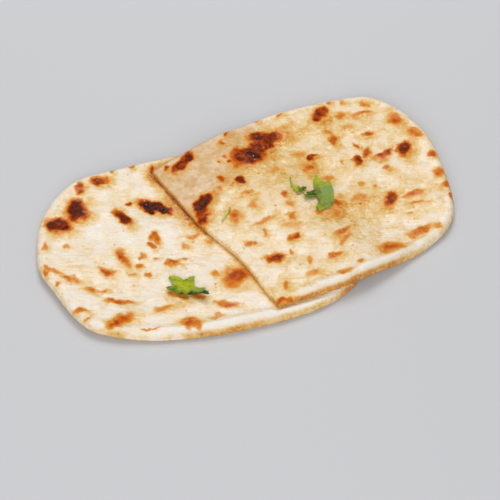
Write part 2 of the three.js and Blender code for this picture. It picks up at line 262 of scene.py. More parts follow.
# Each blister is (x, y, length, width, turn in degrees, rise).
LEFT_BLISTERS = [
    (-100, 47, 19, 14, 80, 1.1), (-116, 39, 14, 13, 175, 1), (-54, 31, 24, 11, 135, 1.2),
    (-75, 32, 16, 7, 105, 0.9), (-85, -3, 16, 8, 95, 0.7), (-62, 6, 9, 7, 100, 0.6),
    (-59, -18, 9, 8, 150, 0.6), (-98, -9, 12, 7, 150, 0.5), (-26, -41, 20, 16, 10, 1),
    (-65, -64, 13, 11, 155, 0.8), (-102, -46, 19, 10, 10, 0.8), (-99, -33, 19, 6, 165, 0.5),
]
RIGHT_BLISTERS = [
    (36, 60, 24, 14, 0, 1.2), (15, 46, 26, 16, 10, 1.2), (-25, 56, 20, 9, 40, 0.7),
    (-27, 11, 20, 12, 35, 0.8), (3, 27, 10, 9, 70, 1.3), (-10, 0, 11, 9, 70, 0.6), (79, 70, 15, 13, 60, 0.8),
    (57, 33, 9, 8, 30, 0.8), (51, 25, 10, 9, 60, 0.6), (76, 41, 13, 10, 75, 0.7), (102, 19, 19, 8, 15, 0.7),
    (117, 16, 17, 12, 60, 1), (123, 44, 15, 10, 105, 0.8), (90, -20, 15, 8, 45, 0.8),
    (0, -42, 12, 10, 160, 0.9), (94, -50, 18, 8, 5, 0.6), (70, -57, 17, 9, 5, 0.6),
]


def swell(x, y, from_rim):
    """Sum of the sine waves, dying down towards the rim."""
    total = 0
    for wavelength, heading, phase, rise in SWELL:
        turn = math.radians(heading)
        along = x * math.cos(turn) + y * math.sin(turn)
        total = total + rise * np.sin(2 * math.pi * along / wavelength + phase)
    return total * (RIM_SWELL + (1 - RIM_SWELL) * ease(from_rim / RIM_CALM))


def reach_across(x, y, cx, cy, length, width, turn):
    """How far out a point is in an ellipse: 0 at its middle and 1 on its edge."""
    c, s = math.cos(math.radians(turn)), math.sin(math.radians(turn))
    along = ((x - cx) * c + (y - cy) * s) / (length / 2)
    across = ((y - cy) * c - (x - cx) * s) / (width / 2)
    return np.hypot(along, across)


def blister_rise(blisters, x, y):
    """Sum of domes, each its rise times the square of 1 less its reach squared."""
    total = np.zeros_like(x)
    for cx, cy, length, width, turn, rise in blisters:
        inside = np.maximum(1 - reach_across(x, y, cx, cy, length, width, turn) ** 2, 0)
        total += rise * inside**2
    return total


highest = max(LEFT_BLISTERS + RIGHT_BLISTERS, key=lambda blister: blister[-1])
print("blisters:", len(LEFT_BLISTERS + RIGHT_BLISTERS), "of up to", highest[-1], "mm")

# %% Lip, fold and pressed places
LIP_RISE = 1.5
LIP_FRONT_EXTRA = 1.3
LIP_END_LESS = 0.6
LIP_INSET = 4.4
LIP_WIDTH = 3.4
# Each step is (start, run) in the direction in which it rises.
LIP_FRONT = (30, 40)
FAR_ENDS = (55, 55)
FOLD_END = (-48, 30)
FOLD_LINE = ((-31, 1), (24, 39))
FOLD_RUN = 13
PRESSED_CORNER = (-11.5, -73)
CORNER_RUN = 24


def towards_end(x):
    """0 over the middle of the bread, easing to 1 at both far ends."""
    return rising(np.abs(x), *FAR_ENDS)


def lip(x, y, from_rim):
    """A bell of height over the distance from the rim, fullest along the front rim and low at both ends."""
    rise = LIP_RISE + LIP_FRONT_EXTRA * rising(-y, *LIP_FRONT)
    return rise * (1 - LIP_END_LESS * towards_end(x)) * bell((from_rim - LIP_INSET) / LIP_WIDTH)


def beyond_fold(x, y):
    """1 on the back corner of the right half that lies lower beyond a soft fold, easing to 0 before it."""
    return ease(-right_of(*FOLD_LINE, x, y) / FOLD_RUN) * rising(-x, *FOLD_END)


def open_share(x, y):
    """1 where the left half lies open, easing to 0 where the right half presses it flat."""
    return rising(outside(right, x, y), OPEN_START, OPEN_RUN)


def corner_press(x, y):
    """1 at the right half's front cut corner, which is pressed thin, falling to 0 around it."""
    return bell(np.hypot(x - PRESSED_CORNER[0], y - PRESSED_CORNER[1]) / CORNER_RUN)


print("the lip is", LIP_RISE, "mm high behind and", LIP_RISE + LIP_FRONT_EXTRA, "mm in front")

# %% Faces and undersides
FOLD_DROP = 1.2
CORNER_PRESS = 1.6
RIM_ROUND = 4.4
RIM_FOOT = 0.48
RIM_TUCK = 0.9
RIM_TUCK_WIDTH = 3
CUT_ROUND = 6
CUT_FOOT = 0.46
CUT_TUCK = 0.2
CUT_TUCK_WIDTH = 1


def left_relief(x, y, from_rim):
    """Relief of the left half, fading out before the lap."""
    shape = lip(x, y, from_rim) + swell(x, y, from_rim) + blister_rise(LEFT_BLISTERS, x, y)
    return open_share(x, y) * shape


def right_relief(x, y, from_rim):
    """Relief of the right half, lower beyond the fold and at the pressed corner, which has no lip."""
    pressed = corner_press(x, y)
    own_lip = lip(x, y, from_rim) * (1 - pressed)
    shape = own_lip + swell(x, y, from_rim) + blister_rise(RIGHT_BLISTERS, x, y)
    return shape - FOLD_DROP * beyond_fold(x, y) - CORNER_PRESS * pressed


def edge_share(from_rim, from_cut):
    """Share of the full thickness that is left near the rim and near the cut."""
    at_rim = RIM_FOOT + (1 - RIM_FOOT) * quarter_round(from_rim / RIM_ROUND)
    at_cut = CUT_FOOT + (1 - CUT_FOOT) * quarter_round(from_cut / CUT_ROUND)
    return np.minimum(at_rim, at_cut)


def tuck(from_rim, from_cut):
    """How far the underside turns up near the rim and near the cut."""
    at_rim = RIM_TUCK * (1 - quarter_round(from_rim / RIM_TUCK_WIDTH))
    at_cut = CUT_TUCK * (1 - quarter_round(from_cut / CUT_TUCK_WIDTH))
    return np.maximum(at_rim, at_cut)


def edge_distances(half, x, y):
    """Distances of each point from a half's rim and from its cut."""
    return distance_to(half.rim_line, x, y), distance_to(half.cut_line, x, y)


def face_height(half, x, y, from_rim, from_cut):
    """Height of a half's face, as the solid has it."""
    return half.bed(x, y) + (CRUMB + half.relief(x, y, from_rim)) * edge_share(from_rim, from_cut)


def face_at(half, x, y):
    """The same height where the distances aren't known yet."""
    return face_height(half, x, y, *edge_distances(half, x, y))


left.relief = left_relief
right.relief = right_relief
print("height of the right half at the middle:", face_at(right, *origin).round(1), "mm")

# %% [markdown]
# Noise and small bubbles.
#
# Under the large relief, dough skin has small dents, pin bubbles and fine stretch lines. Blender's own
# noise could displace them in the shader, but then they would not be in the mesh. Here the noise is a grid of
# repeatable random numbers, blended smoothly, so each run gives the same bread. Bubbles use the same numbers:
# one small dome in some of the squares of a grid, looked for in the nine squares round each point.

# %% Noise and small bubbles
NEIGHBOURS = [(i, j) for i in (-1, 0, 1) for j in (-1, 0, 1)]
# Large odd numbers that share no pattern, so that their products look random.
MIX_X = 374761393
MIX_Y = 668265263
MIX_SEED = 974634777
MIX_AGAIN = 1274126177
LOW_31_BITS = 0x7FFFFFFF
LOW_16_BITS = 0xFFFF
LAYER_FADE = 0.55


def scatter(ix, iy, seed):
    """A repeatable number from 0 to 1 for each square of a grid: whole-number products, folded on
    themselves by exclusive-or."""
    mixed = ix.astype(np.int64) * MIX_X + iy.astype(np.int64) * MIX_Y + seed * MIX_SEED
    mixed = mixed & LOW_31_BITS
    mixed = ((mixed ^ (mixed >> 13)) * MIX_AGAIN) & LOW_31_BITS
    return ((mixed ^ (mixed >> 16)) & LOW_16_BITS) / LOW_16_BITS


def noise(x, y, size, seed):
    """Smooth noise from -1 to 1: random numbers at the corners of squares of that size, eased between.
    Each seed also turns the grid, so that layers of noise don't line up."""
    c, s = math.cos(seed), math.sin(seed)
    u, v = (x * c + y * s) / size, (y * c - x * s) / size
    i, j = np.floor(u), np.floor(v)
    fu, fv = ease(u - i), ease(v - j)
    low = scatter(i, j, seed) * (1 - fu) + scatter(i + 1, j, seed) * fu
    high = scatter(i, j + 1, seed) * (1 - fu) + scatter(i + 1, j + 1, seed) * fu
    return 2 * (low * (1 - fv) + high * fv) - 1


def rough(x, y, size, seed, layers=3):
    """Layers of noise, each half the size and just over half the height of the one before."""
    total = np.zeros_like(x)
    for k in range(layers):
        total += LAYER_FADE**k * noise(x, y, size / 2**k, seed + 7 * k)
    return total


def uneven(x, y, height, size, seed, layers):
    """Layers of noise of a given height. The last four values are kept together as one named row."""
    return height * rough(x, y, size, seed, layers)


def bubbles(x, y, pitch, radius, keep, seed):
    """Height from 0 to 1 of small domes, 1 less the squared reach. A square of the grid holds one with
    the chance keep, at a random spot, with a random radius between half and all of the given one."""
    u, v = x / pitch, y / pitch
    i, j = np.floor(u), np.floor(v)
    height = np.zeros_like(x)
    for di, dj in NEIGHBOURS:
        ci, cj = i + di, j + dj
        cx, cy = ci + scatter(ci, cj, seed), cj + scatter(ci, cj, seed + 1)
        size = radius * (0.5 + 0.5 * scatter(ci, cj, seed + 2)) / pitch
        dome = 1 - ((u - cx) ** 2 + (v - cy) ** 2) / size**2
        height = np.maximum(height, np.where(scatter(ci, cj, seed + 3) < keep, dome, 0))
    return height


trial = np.linspace(-120, 120, 500)
print("share of a line with bubbles on it:", float((bubbles(trial, trial, 9, 2.6, 0.6, 3) > 0).mean()))

# %% [markdown]
# Scorch marks.
#
# Each dark mark is a bubble that met the oven's heat first, but for two on the left half, which are painted
# shadow under the left leaf's lifted front edge. They aren't round: the skin tears, runs and wrinkles. So
# each is an ellipse given by its place, length, width, turn and how dark it got, and the ground under all of
# them is first bent by noise, which makes every edge ragged. One could paint them by hand on an image, but a
# list of spots keeps them editable and sharp at any size.

# %% Places of the scorch marks
# Each mark is (x, y, length, width, turn in degrees, darkness), and 1 is nearly black.
LEFT_SCORCH_AND_LEAF_SHADOW = [
    (-101, 46.5, 17, 14, 80, 1.0), (-115.5, 38, 15, 13, 175, 0.94), (-54, 31.5, 23, 9.5, 137, 1.1),
    (-76, 30, 17, 7, 104, 0.85), (-80, 65, 11, 8, 153, 0.78), (-93, 62.5, 9, 6, 75, 0.72),
    (-85.5, -1.5, 15, 6, 95, 0.64), (-62, 6, 9, 5, 101, 0.58), (-66, 1, 5, 4, 152, 0.55),
    (-59, -18, 8, 6, 149, 0.6), (-98, -9, 11, 5, 149, 0.68), (-74, -5, 5, 4, 83, 0.4),
    (-79, -11, 5, 5, 128, 0.55), (-26, -41, 18, 14, 10, 0.67), (-37, -35, 7, 5, 156, 0.4),
    (-64, -64.5, 13, 10, 153, 0.6), (-103.5, -47.5, 18, 9, 12, 0.66), (-99, -33, 18, 4, 163, 0.58),
    (-121.5, -33.5, 10, 4, 152, 0.6), (-39, -59, 15, 4, 140, 0.58), (-75, -47, 14, 4, 177, 0.42),
    (-130, 3, 11, 4, 135, 0.5), (-121.5, -6.5, 13, 4, 138, 0.48), (-112, -19, 9, 4, 137, 0.5),
    (-116, 20, 4, 4, 133, 0.4), (-128, 24, 7, 4, 77, 0.45), (-134, 3, 4, 4, 98, 0.5),
    (-68, 41, 4, 4, 83, 0.75), (-39, 0, 13, 4, 169, 0.4), (-47, -7, 6, 6, 149, 0.34),
    (-74, -20.5, 6, 4, 131, 0.5), (-66, -10, 5, 3, 140, 0.42), (-70, 69, 4, 3, 76, 0.5),
    (-56, 69, 6, 4, 174, 0.45), (-32, -9, 6, 4, 157, 0.34), (-44.5, 58.5, 10, 4, 108, 0.85),
    (-49, -65, 13, 4, 164, 0.3), (-88, -59, 13, 2, 163, 0.4), (-120, -41, 4, 3, 152, 0.42),
    (-130, -8, 4, 3, 110, 0.45), (-105, -22, 6, 3, 150, 0.42), (-52, -17, 7, 3, 165, 0.4),
    # The first two marks on the next row are painted shadow under the left leaf's lifted front edge.
    (-65, -41.4, 16, 6, 150, 0.42), (-52.5, -46.8, 12, 5, 155, 0.54), (-84, -16, 6, 3, 160, 0.36),
]
RIGHT_SCORCH = [
    (35, 61, 23, 12, 178, 0.88), (17.5, 47, 24, 15, 9, 0.88), (29, 53, 22, 11, 30, 0.84),
    (19, 47, 6, 6, 30, 1.2), (30, 61, 8, 4, 10, 1.05), (9, 41, 11, 5, 20, 0.62), (27, 57, 13, 8, 20, 0.82),
    (11, 53, 10, 8, 30, 0.72), (-25, 56, 20, 7, 38, 0.86), (-35.5, 56, 6, 4, 22, 0.74),
    (-25.5, 18.5, 15, 10, 40, 1.0), (-29.5, 7.5, 13, 9, 60, 0.8), (-27.5, 12.5, 9, 8, 45, 0.86),
    (3, 27, 8, 7, 69, 0.9), (-7, 33, 6, 5, 69, 0.66), (-11, 0.5, 12, 9, 69, 0.6),
    (78, 68.5, 12, 10, 58, 0.86), (57, 33, 6, 6, 32, 0.86), (51, 25, 9, 7, 61, 0.62),
    (76, 41, 10, 7, 76, 0.66), (99, 39, 9, 5, 170, 0.64), (84, 20, 8, 6, 60, 0.8), (92, 24, 9, 5, 56, 0.66),
    (102, 19, 17, 6, 14, 0.74), (117, 16, 15, 10, 59, 0.88), (131, 3, 7, 5, 174, 0.7),
    (127, -11.5, 8, 7, 47, 0.55), (127, -22, 8, 6, 28, 0.6), (126, -33, 7, 3, 61, 0.66),
    (122.5, 42.5, 14, 8, 107, 0.64), (128.5, 26, 14, 8, 124, 0.54), (91, 62, 9, 6, 170, 0.46),
    (105, 58, 13, 5, 174, 0.52), (88.5, -19, 14, 8, 43, 0.78), (105, -22, 16, 5, 175, 0.54),
    (103, -29, 11, 3, 159, 0.52), (72, -11, 13, 8, 168, 0.4), (83, -5, 5, 4, 56, 0.45),
    (98, 6, 7, 5, 176, 0.5), (55.5, -10.5, 8, 6, 61, 0.62), (46, -36, 15, 4, 19, 0.55),
    (34, -53, 9, 4, 23, 0.55), (94, -50, 18, 6, 7, 0.55), (106, -51, 6, 6, 2, 0.35),
    (70.5, -56.5, 17, 11, 6, 0.6), (34, -67, 10, 5, 175, 0.48), (47, -63, 6, 3, 174, 0.4),
    (0.5, -40, 11, 8, 161, 0.82), (17, -29, 7, 5, 10, 0.7), (-10, -25, 7, 5, 158, 0.58),
    (24, 4, 4.5, 4, 66, 0.64), (49, 39, 11, 6, 176, 0.34), (28, 30, 8, 6, 160, 0.34),
    (4, 14.5, 9, 4, 170, 0.46), (2.5, 4, 8, 8, 67, 0.38), (22, -12, 9, 5, 40, 0.52),
    (5.5, -10.5, 15, 5, 10, 0.42), (24.5, -3, 8, 6, 163, 0.38), (20, -20, 15, 8, 158, 0.28),
    (1, -19, 6, 4, 69, 0.38), (18, -51, 6, 4, 60, 0.38), (46, -42, 17, 6, 28, 0.4), (88, 31, 7, 3, 100, 0.6),
    (77, 50, 9, 5, 95, 0.42), (78, 0, 5, 4, 60, 0.38), (61, -4, 8, 5, 69, 0.3), (50, -18, 11, 8, 60, 0.42),
    (-10, 27, 5, 4, 60, 0.45), (-3, 27, 5, 3, 30, 0.42), (-17, 24, 8, 3, 40, 0.4), (16, -61, 9, 5, 173, 0.42),
    (-2, -63, 8, 5, 66, 0.46), (-8, -72, 16, 4, 168, 0.58), (11, -40, 7, 4, 66, 0.42),
    (11.5, 68.5, 7, 3, 20, 0.68), (4, 63, 6, 3, 17, 0.58), (3.5, 52.5, 5, 4, 69, 0.7),
    (3, 46.5, 5, 4, 60, 0.72), (-3, 49, 3.5, 3, 60, 0.62), (35, 78, 4, 3, 158, 0.5),
    (52, 76, 6, 3, 175, 0.45), (88, 75, 5, 4, 160, 0.45), (97, 73, 4, 3, 58, 0.45),
    (110, 66, 9, 5, 118, 0.46), (74, 22, 4, 3, 62, 0.5), (89, 51, 7, 5, 26, 0.34), (59, 12, 8, 5, 160, 0.38),
    (41, -17, 7, 5, 20, 0.38), (95, -35, 6, 4, 20, 0.32),
]
print("marks:", len(LEFT_SCORCH_AND_LEAF_SHADOW), "left,", len(RIGHT_SCORCH), "right")

# %% Scorch marks
# Unevenness is (height, size, seed, layers), here and in the cells below.
BEND_X = (1.7, 6.5, 11, 4)
BEND_Y = (1.7, 6.5, 23, 4)
MARK_CORE = 0.28
MARK_END = 1.55
# How much larger a dark mark's core is, from which darkness on and over which run.
DARK_CORE = (0.3, 0.65, 0.25)
HALO_CORE = 0.6
HALO_FADE = 1.7
HALO_SHIFT = (0.8, -1.4)


def bend(x, y):
    """Plan points moved up to about 3 mm by noise, so that what is drawn there gets a ragged outline."""
    return x + uneven(x, y, *BEND_X), y + uneven(x, y, *BEND_Y)


def scorch_depth(marks, x, y):
    """Darkest of all marks at each point, full in a mark's core and easing to 0 outside it, and the same
    with a wider fade for the golden halo, which lies a little to one side of each. A dark mark has a
    larger core, so that its edge is sharper."""
    bx, by = bend(x, y)
    depth, halo = np.zeros_like(x), np.zeros_like(x)
    for cx, cy, length, width, turn, dark in marks:
        reach = reach_across(bx, by, cx, cy, length, width, turn)
        core = MARK_CORE + climb(dark, *DARK_CORE)
        depth = np.maximum(depth, dark * ease((MARK_END - reach) / (MARK_END - core)))
        wide = reach_across(bx, by, cx + HALO_SHIFT[0], cy + HALO_SHIFT[1], length, width, turn)
        halo = np.maximum(halo, dark * ease((HALO_CORE + HALO_FADE - wide) / HALO_FADE))
    return depth, halo


left.scorch = LEFT_SCORCH_AND_LEAF_SHADOW
right.scorch = RIGHT_SCORCH
depth, halo = scorch_depth(right.scorch, *origin)
print("scorch and halo at the middle of the right half:", depth.round(2), halo.round(2))

# %% [markdown]
# Toasting and butter.
#
# Between the marks the crust goes from nearly white to a buttery gold. The right half took more heat, and its
# back corner beyond the fold is tinted a duller beige, which is painted shade where that corner turns from
# the lamp. The left half is palest at its front. The lips stay white, the side under them is golden, and the
# cut is browner towards the back. On the left half, a brown band beside the raised cut and a thin golden line
# right under it are painted shadow of the right half. These broad tints are put in as numbers on the mesh.
# The shader then breaks them up, which keeps broad and fine separate.

# %% Toasting and butter
# Each tint is (x, y, length, width, turn in degrees, amount), and one below 0 makes a paler place.
LEFT_GOLD = [
    (-75, 55, 60, 26, 170, 0.22), (-40, 10, 30, 16, 110, 0.5), (-92, -22, 40, 18, 160, 0.4),
    (-60, -48, 30, 14, 165, 0.6), (-115, 0, 26, 40, 100, 0.3), (-30, -30, 44, 26, 160, 0.28),
]
RIGHT_GOLD = [
    (20, 20, 70, 50, 20, 0.5), (60, -20, 44, 36, 170, 0.75), (60, 60, 60, 30, 0, 0.68),
    (100, 45, 50, 50, 20, 0.35), (20, -50, 50, 26, 170, 0.14), (108, -20, 44, 36, 160, 0.28),
    (50, 25, 30, 40, 60, 0.5), (42, -20, 24, 18, 20, 0.35), (-12, 26, 24, 9, 38, 0.5),
    (-5, -50, 26, 34, 100, -0.25),
]
LEFT_GROUND = 0.04
LEFT_SPOTS = 0.55
RIGHT_GROUND = 0.18
RIGHT_SPOTS = 0.6
# Painted shadow of the raised right half on the left half: a brown band beside its cut, and a thin line of
# painted shade under it.
PAINTED_CUT_SHADOW = 0.85
PAINTED_CUT_SHADOW_AWAY = 1
PAINTED_CUT_SHADOW_WIDTH = 4.5
PAINTED_CUT_SHADOW_FRONT = 0.15
PAINTED_CONTACT_SHADE = 0.5
PAINTED_CONTACT_SHADE_WIDTH = 1.6
CORNER_GOLD = 0.3
# The painted shadow band beside the cut grows towards the back by this amount, from this y on and over this
# run.
PAINTED_CUT_SHADOW_BACK = (0.85, -14, 26)


def tint(spots, x, y):
    """Soft sum of broad ellipses, each a bell of its reach, held to 1 at most."""
    total = np.zeros_like(x)
    for cx, cy, length, width, turn, amount in spots:
        total += amount * bell(reach_across(x, y, cx, cy, length, width, turn))
    return np.minimum(total, 1)


def left_toast(x, y):
    """Gold of the left half: a pale ground and the spots, with painted shadow of the upper half: a brown band
    along its cut, and a thin golden line of painted shade right under it."""
    from_upper = outside(right, x, y)
    # Painted shadow and shade of the raised right half along its cut.
    strength = PAINTED_CUT_SHADOW_FRONT + climb(y, *PAINTED_CUT_SHADOW_BACK)
    cut_shadow = bell((from_upper - PAINTED_CUT_SHADOW_AWAY) / PAINTED_CUT_SHADOW_WIDTH) * strength
    under_cut = bell(from_upper / PAINTED_CONTACT_SHADE_WIDTH)
    ground = LEFT_GROUND + LEFT_SPOTS * tint(LEFT_GOLD, x, y)
    return ground + PAINTED_CUT_SHADOW * cut_shadow + PAINTED_CONTACT_SHADE * under_cut


def right_toast(x, y):
    """Gold of the right half: a warmer ground, the spots, and a golden edge at the pressed corner."""
    return RIGHT_GROUND + RIGHT_SPOTS * tint(RIGHT_GOLD, x, y) + CORNER_GOLD * corner_press(x, y)


left.toast = left_toast
right.toast = right_toast
print("gold at the middle of each half:", [h.toast(*origin).round(2) for h in (left, right)])

# %% White lips and golden sides
WHITE_INSET = 3.4
WHITE_WIDTH = 1.8
WHITE_LEAST = 0.15
WHITE_EVEN = 0.85
WHITE_PATCHES = (0.3, 13, 97, 1)
SIDE_GOLD = 0.95
SIDE_PATCHES = (0.2, 19, 41, 2)
CUT_GOLD = 0.25
# Each edge is (start, run) towards the rim or the cut, with the distance from it below 0.
SIDE_EDGE = (-2.2, 1.8)
CUT_EDGE = (-1.2, 1.2)
# Each fade is (amount, start, run) in the direction in which it grows.
WHITE_FRONT = (1, 20, 35)
WHITE_FADES = ((0.45, 55, 55), (0.7, 50, 50))
SIDE_FADES = ((0.8, 40, 40), (0.85, 62, 40))
SIDE_LAP_FADE = (0.4, -40, 40)
CUT_BACK_GOLD = (1.1, -10, 30)


def faded(x, at_left, at_right):
    """How much a colour has faded towards the left and the right end."""
    return climb(-x, *at_left) + climb(x, *at_right)


def white_lip(half, x, y, from_rim):
    """1 on the crest of the lip, strongest along the front, weaker here and there and towards both ends, and
    none at the pressed corner."""
    patchy = WHITE_EVEN + uneven(x, y, *WHITE_PATCHES)
    along_front = climb(-y, *WHITE_FRONT) * (1 - faded(x, *WHITE_FADES))
    strength = np.minimum(WHITE_LEAST + (1 - WHITE_LEAST) * along_front * patchy, 1)
    crest = bell((from_rim - WHITE_INSET) / WHITE_WIDTH) * strength
    return crest * (1 - corner_press(x, y)) if half is right else crest


def edge_gold(half, x, y, from_rim, from_cut, on_cut):
    """Gold of the side under the lip, browner in places and paler at both far ends and under the lap, and
    of the cut, which is browner at the back."""
    paler = faded(x, *SIDE_FADES)
    if half is left:
        paler = paler + climb(x, *SIDE_LAP_FADE)
    patchy = SIDE_GOLD + uneven(x, y, *SIDE_PATCHES)
    at_rim = patchy * (1 - paler) * rising(-from_rim, *SIDE_EDGE)
    at_cut = (CUT_GOLD + climb(y, *CUT_BACK_GOLD)) * rising(-from_cut, *CUT_EDGE)
    return np.where(on_cut, at_cut, at_rim)


print("share of the side's gold that has faded at x = 80:", faded(80.0, *SIDE_FADES).round(2))

# %% [markdown]
# Fine relief.
#
# The fine layer sits on the large one: shallow dents, two sizes of pin bubbles, stretch lines that run along
# the bread, and wrinkles and a torn, sunken middle where a bubble scorched. These fade out at the rim. The
# front lip gets low lumps of its own and a crease behind it. Nothing is left under the lap, where the halves
# touch.

# %% Fine relief
STRETCH_TURN = math.radians(-22)
STRETCH_WANDER = (1.6, 17, 5, 1)
STRETCH_WIDTH = 1.25
STRETCH_LONGER = 9
LEFT_STRETCH = 0.17
RIGHT_STRETCH = 0.08
DENTS = (0.22, 12, 31, 3)
SMALL_DENTS = (0.15, 3.6, 47, 2)
BUBBLE_RISE = 0.4
PIN_RISE = 0.24
# Bubbles and pins are (pitch, radius, share kept, seed).
BUBBLES = (8.5, 3, 0.55, 3)
PINS = (4.6, 1.6, 0.5, 17)
WRINKLES = (0.18, 2.6, 61, 2)
# Marks of this darkness and above are fully wrinkled.
WRINKLED_FROM = 0.5
# A tear is this deep, from this darkness on and over this run.
TEAR = (0.45, 0.72, 0.25)
CREASE_DEPTH = 0.3
CREASE_INSET = 9
CREASE_WANDER = (1.5, 21, 29, 1)
CREASE_WIDTH = 2.8
LUMPS = (0.5, 8, 83, 2)
LUMP_WIDTH = 2.6
LUMPY_FRONT = (20, 30)
# Inwards from the rim the fine relief grows over (start, run). From the cut it grows from a share of it.
CALM_RIM = (1, 9)
CALM_CUT_SHARE = 0.35
CALM_CUT_RUN = 4


def stretch_lines(x, y):
    """Noise drawn out along one direction: 11 mm long and 1 mm across."""
    along = x * math.cos(STRETCH_TURN) + y * math.sin(STRETCH_TURN)
    across = y * math.cos(STRETCH_TURN) - x * math.sin(STRETCH_TURN)
    across = across + uneven(x, y, *STRETCH_WANDER)
    return rough(along / STRETCH_LONGER, across, STRETCH_WIDTH, 0, layers=2)


def fine_relief(half, x, y, from_rim, from_cut, scorch):
    """Dents, bubbles and stretch lines, with wrinkles and a sunken tear where it is scorched, all fading out
    at the rim, and lumps on the front lip."""
    at_cut = CALM_CUT_SHARE + (1 - CALM_CUT_SHARE) * ease(from_cut / CALM_CUT_RUN)
    calm = rising(from_rim, *CALM_RIM) * at_cut
    dents = uneven(x, y, *DENTS) + uneven(x, y, *SMALL_DENTS)
    pins = BUBBLE_RISE * bubbles(x, y, *BUBBLES) + PIN_RISE * bubbles(x, y, *PINS)
    lines = (LEFT_STRETCH if half is left else RIGHT_STRETCH) * stretch_lines(x, y)
    wrinkles = ease(scorch / WRINKLED_FROM) * uneven(x, y, *WRINKLES)
    tear = climb(scorch, *TEAR)
    front = rising(-y, *LUMPY_FRONT)
    crease_line = CREASE_INSET + uneven(x, y, *CREASE_WANDER)
    crease = CREASE_DEPTH * bell((from_rim - crease_line) / CREASE_WIDTH) * front
    lumps = uneven(x, y, *LUMPS) * bell((from_rim - LIP_INSET) / LUMP_WIDTH) * front
    share = open_share(x, y) if half is left else 1
    return share * (calm * (dents + pins + lines + wrinkles - tear - crease) + lumps)


print("stretch lines at the middle:", stretch_lines(*origin).round(2))

# %% [markdown]
# The mesh of a half.
#
# A half is one closed skin. The grid's first parameter runs round the outline and its second from the middle
# out over the face, down the side and back under to the middle. Rings are closer together near the edge,
# where the form turns quickly. The side is rounded on the rim, and rough and open along the cut.

# %% Rings of a half
RIM_STEPS = 470
CUT_STEPS = 170
FACE_RINGS = 100
FACE_SHARE = 0.86
EDGE_RINGS = 31
EDGE_CLOSING = 1.6
SIDE_RINGS = 4
UNDER_SHARES = [0.985, 0.965, 0.94, 0.9, 0.84, 0.75, 0.62, 0.45, 0.25]


def outline_steps(half):
    """Points round a half's outline, the outward direction at each, and which of them lie on the cut."""
    rim, cut = spaced(half.rim, RIM_STEPS + 1), spaced(half.cut, CUT_STEPS + 1)
    edge = np.vstack([rim[:-1], cut[:-1]])
    along = np.roll(edge, -1, axis=0) - np.roll(edge, 1, axis=0)
    out = np.column_stack([along[:, 1], -along[:, 0]])
    on_cut = np.arange(len(edge)) >= RIM_STEPS
    return edge, out / np.linalg.norm(out, axis=1)[:, None], on_cut


def face_rings():
    """Shares of the way out: even over the face, then closer and closer towards the edge."""
    even = np.linspace(0, FACE_SHARE, FACE_RINGS + 1)[1:]
    near = 1 - (1 - FACE_SHARE) * (1 - np.linspace(0, 1, EDGE_RINGS + 1)[1:]) ** EDGE_CLOSING
    return np.concatenate([even, near])


print("face rings:", len(face_rings()), "with the last but one at", face_rings()[-2].round(4), "of the way")

# %% Closed skins
def closed_skin(name, rings, first, last):
    """One closed mesh from rings of points of one length, an array of ring, place and x, y, z in
    millimetres, closed at each end by fans of triangles on a single point."""
    count, around, _ = rings.shape
    points = np.vstack([rings.reshape(-1, 3), first, last])
    here = np.arange(count * around).reshape(count, around)
    beside = np.roll(here, -1, axis=1)
    quads = np.stack([here[:-1], here[1:], beside[1:], beside[:-1]], axis=-1).reshape(-1, 4)
    top = np.column_stack([np.full(around, count * around), here[0], beside[0]])
    bottom = np.column_stack([np.full(around, count * around + 1), beside[-1], here[-1]])
    mesh = bpy.data.meshes.new(name)
    mesh.from_pydata((points * MM).tolist(), [], quads.tolist() + top.tolist() + bottom.tolist())
    mesh.shade_smooth()
    made = bpy.data.objects.new(name, mesh)
    bpy.context.scene.collection.objects.link(made)
    return made


def write_attribute(made, name, values, first, last):
    """Puts one number on each point of a closed skin, for its material to read."""
    layer = made.data.attributes.new(name, "FLOAT", "POINT")
    layer.data.foreach_set("value", np.append(values.ravel(), [first, last]).astype(np.float32))


def stands_for(made, node_name):
    """Lets a finished mesh stand for one solid: puts it on the bread's only body and hides the solid."""
    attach(made, "root")
    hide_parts(node_name)


ring_count = len(face_rings()) + SIDE_RINGS + 1 + len(UNDER_SHARES)
print("each half gets", ring_count, "rings of", RIM_STEPS + CUT_STEPS, "points")

# %% The mesh of a half
RIM_BULGE = 0.35
CUT_PORES = (0.45, 1.7, 71, 2)
PORE_FLATTENING = 2
HALO_GOLD = 0.75
LIP_HIDES_GOLD = 0.8
UNDER_GOLD = 0.85
SIDE_BROWN = 0.12


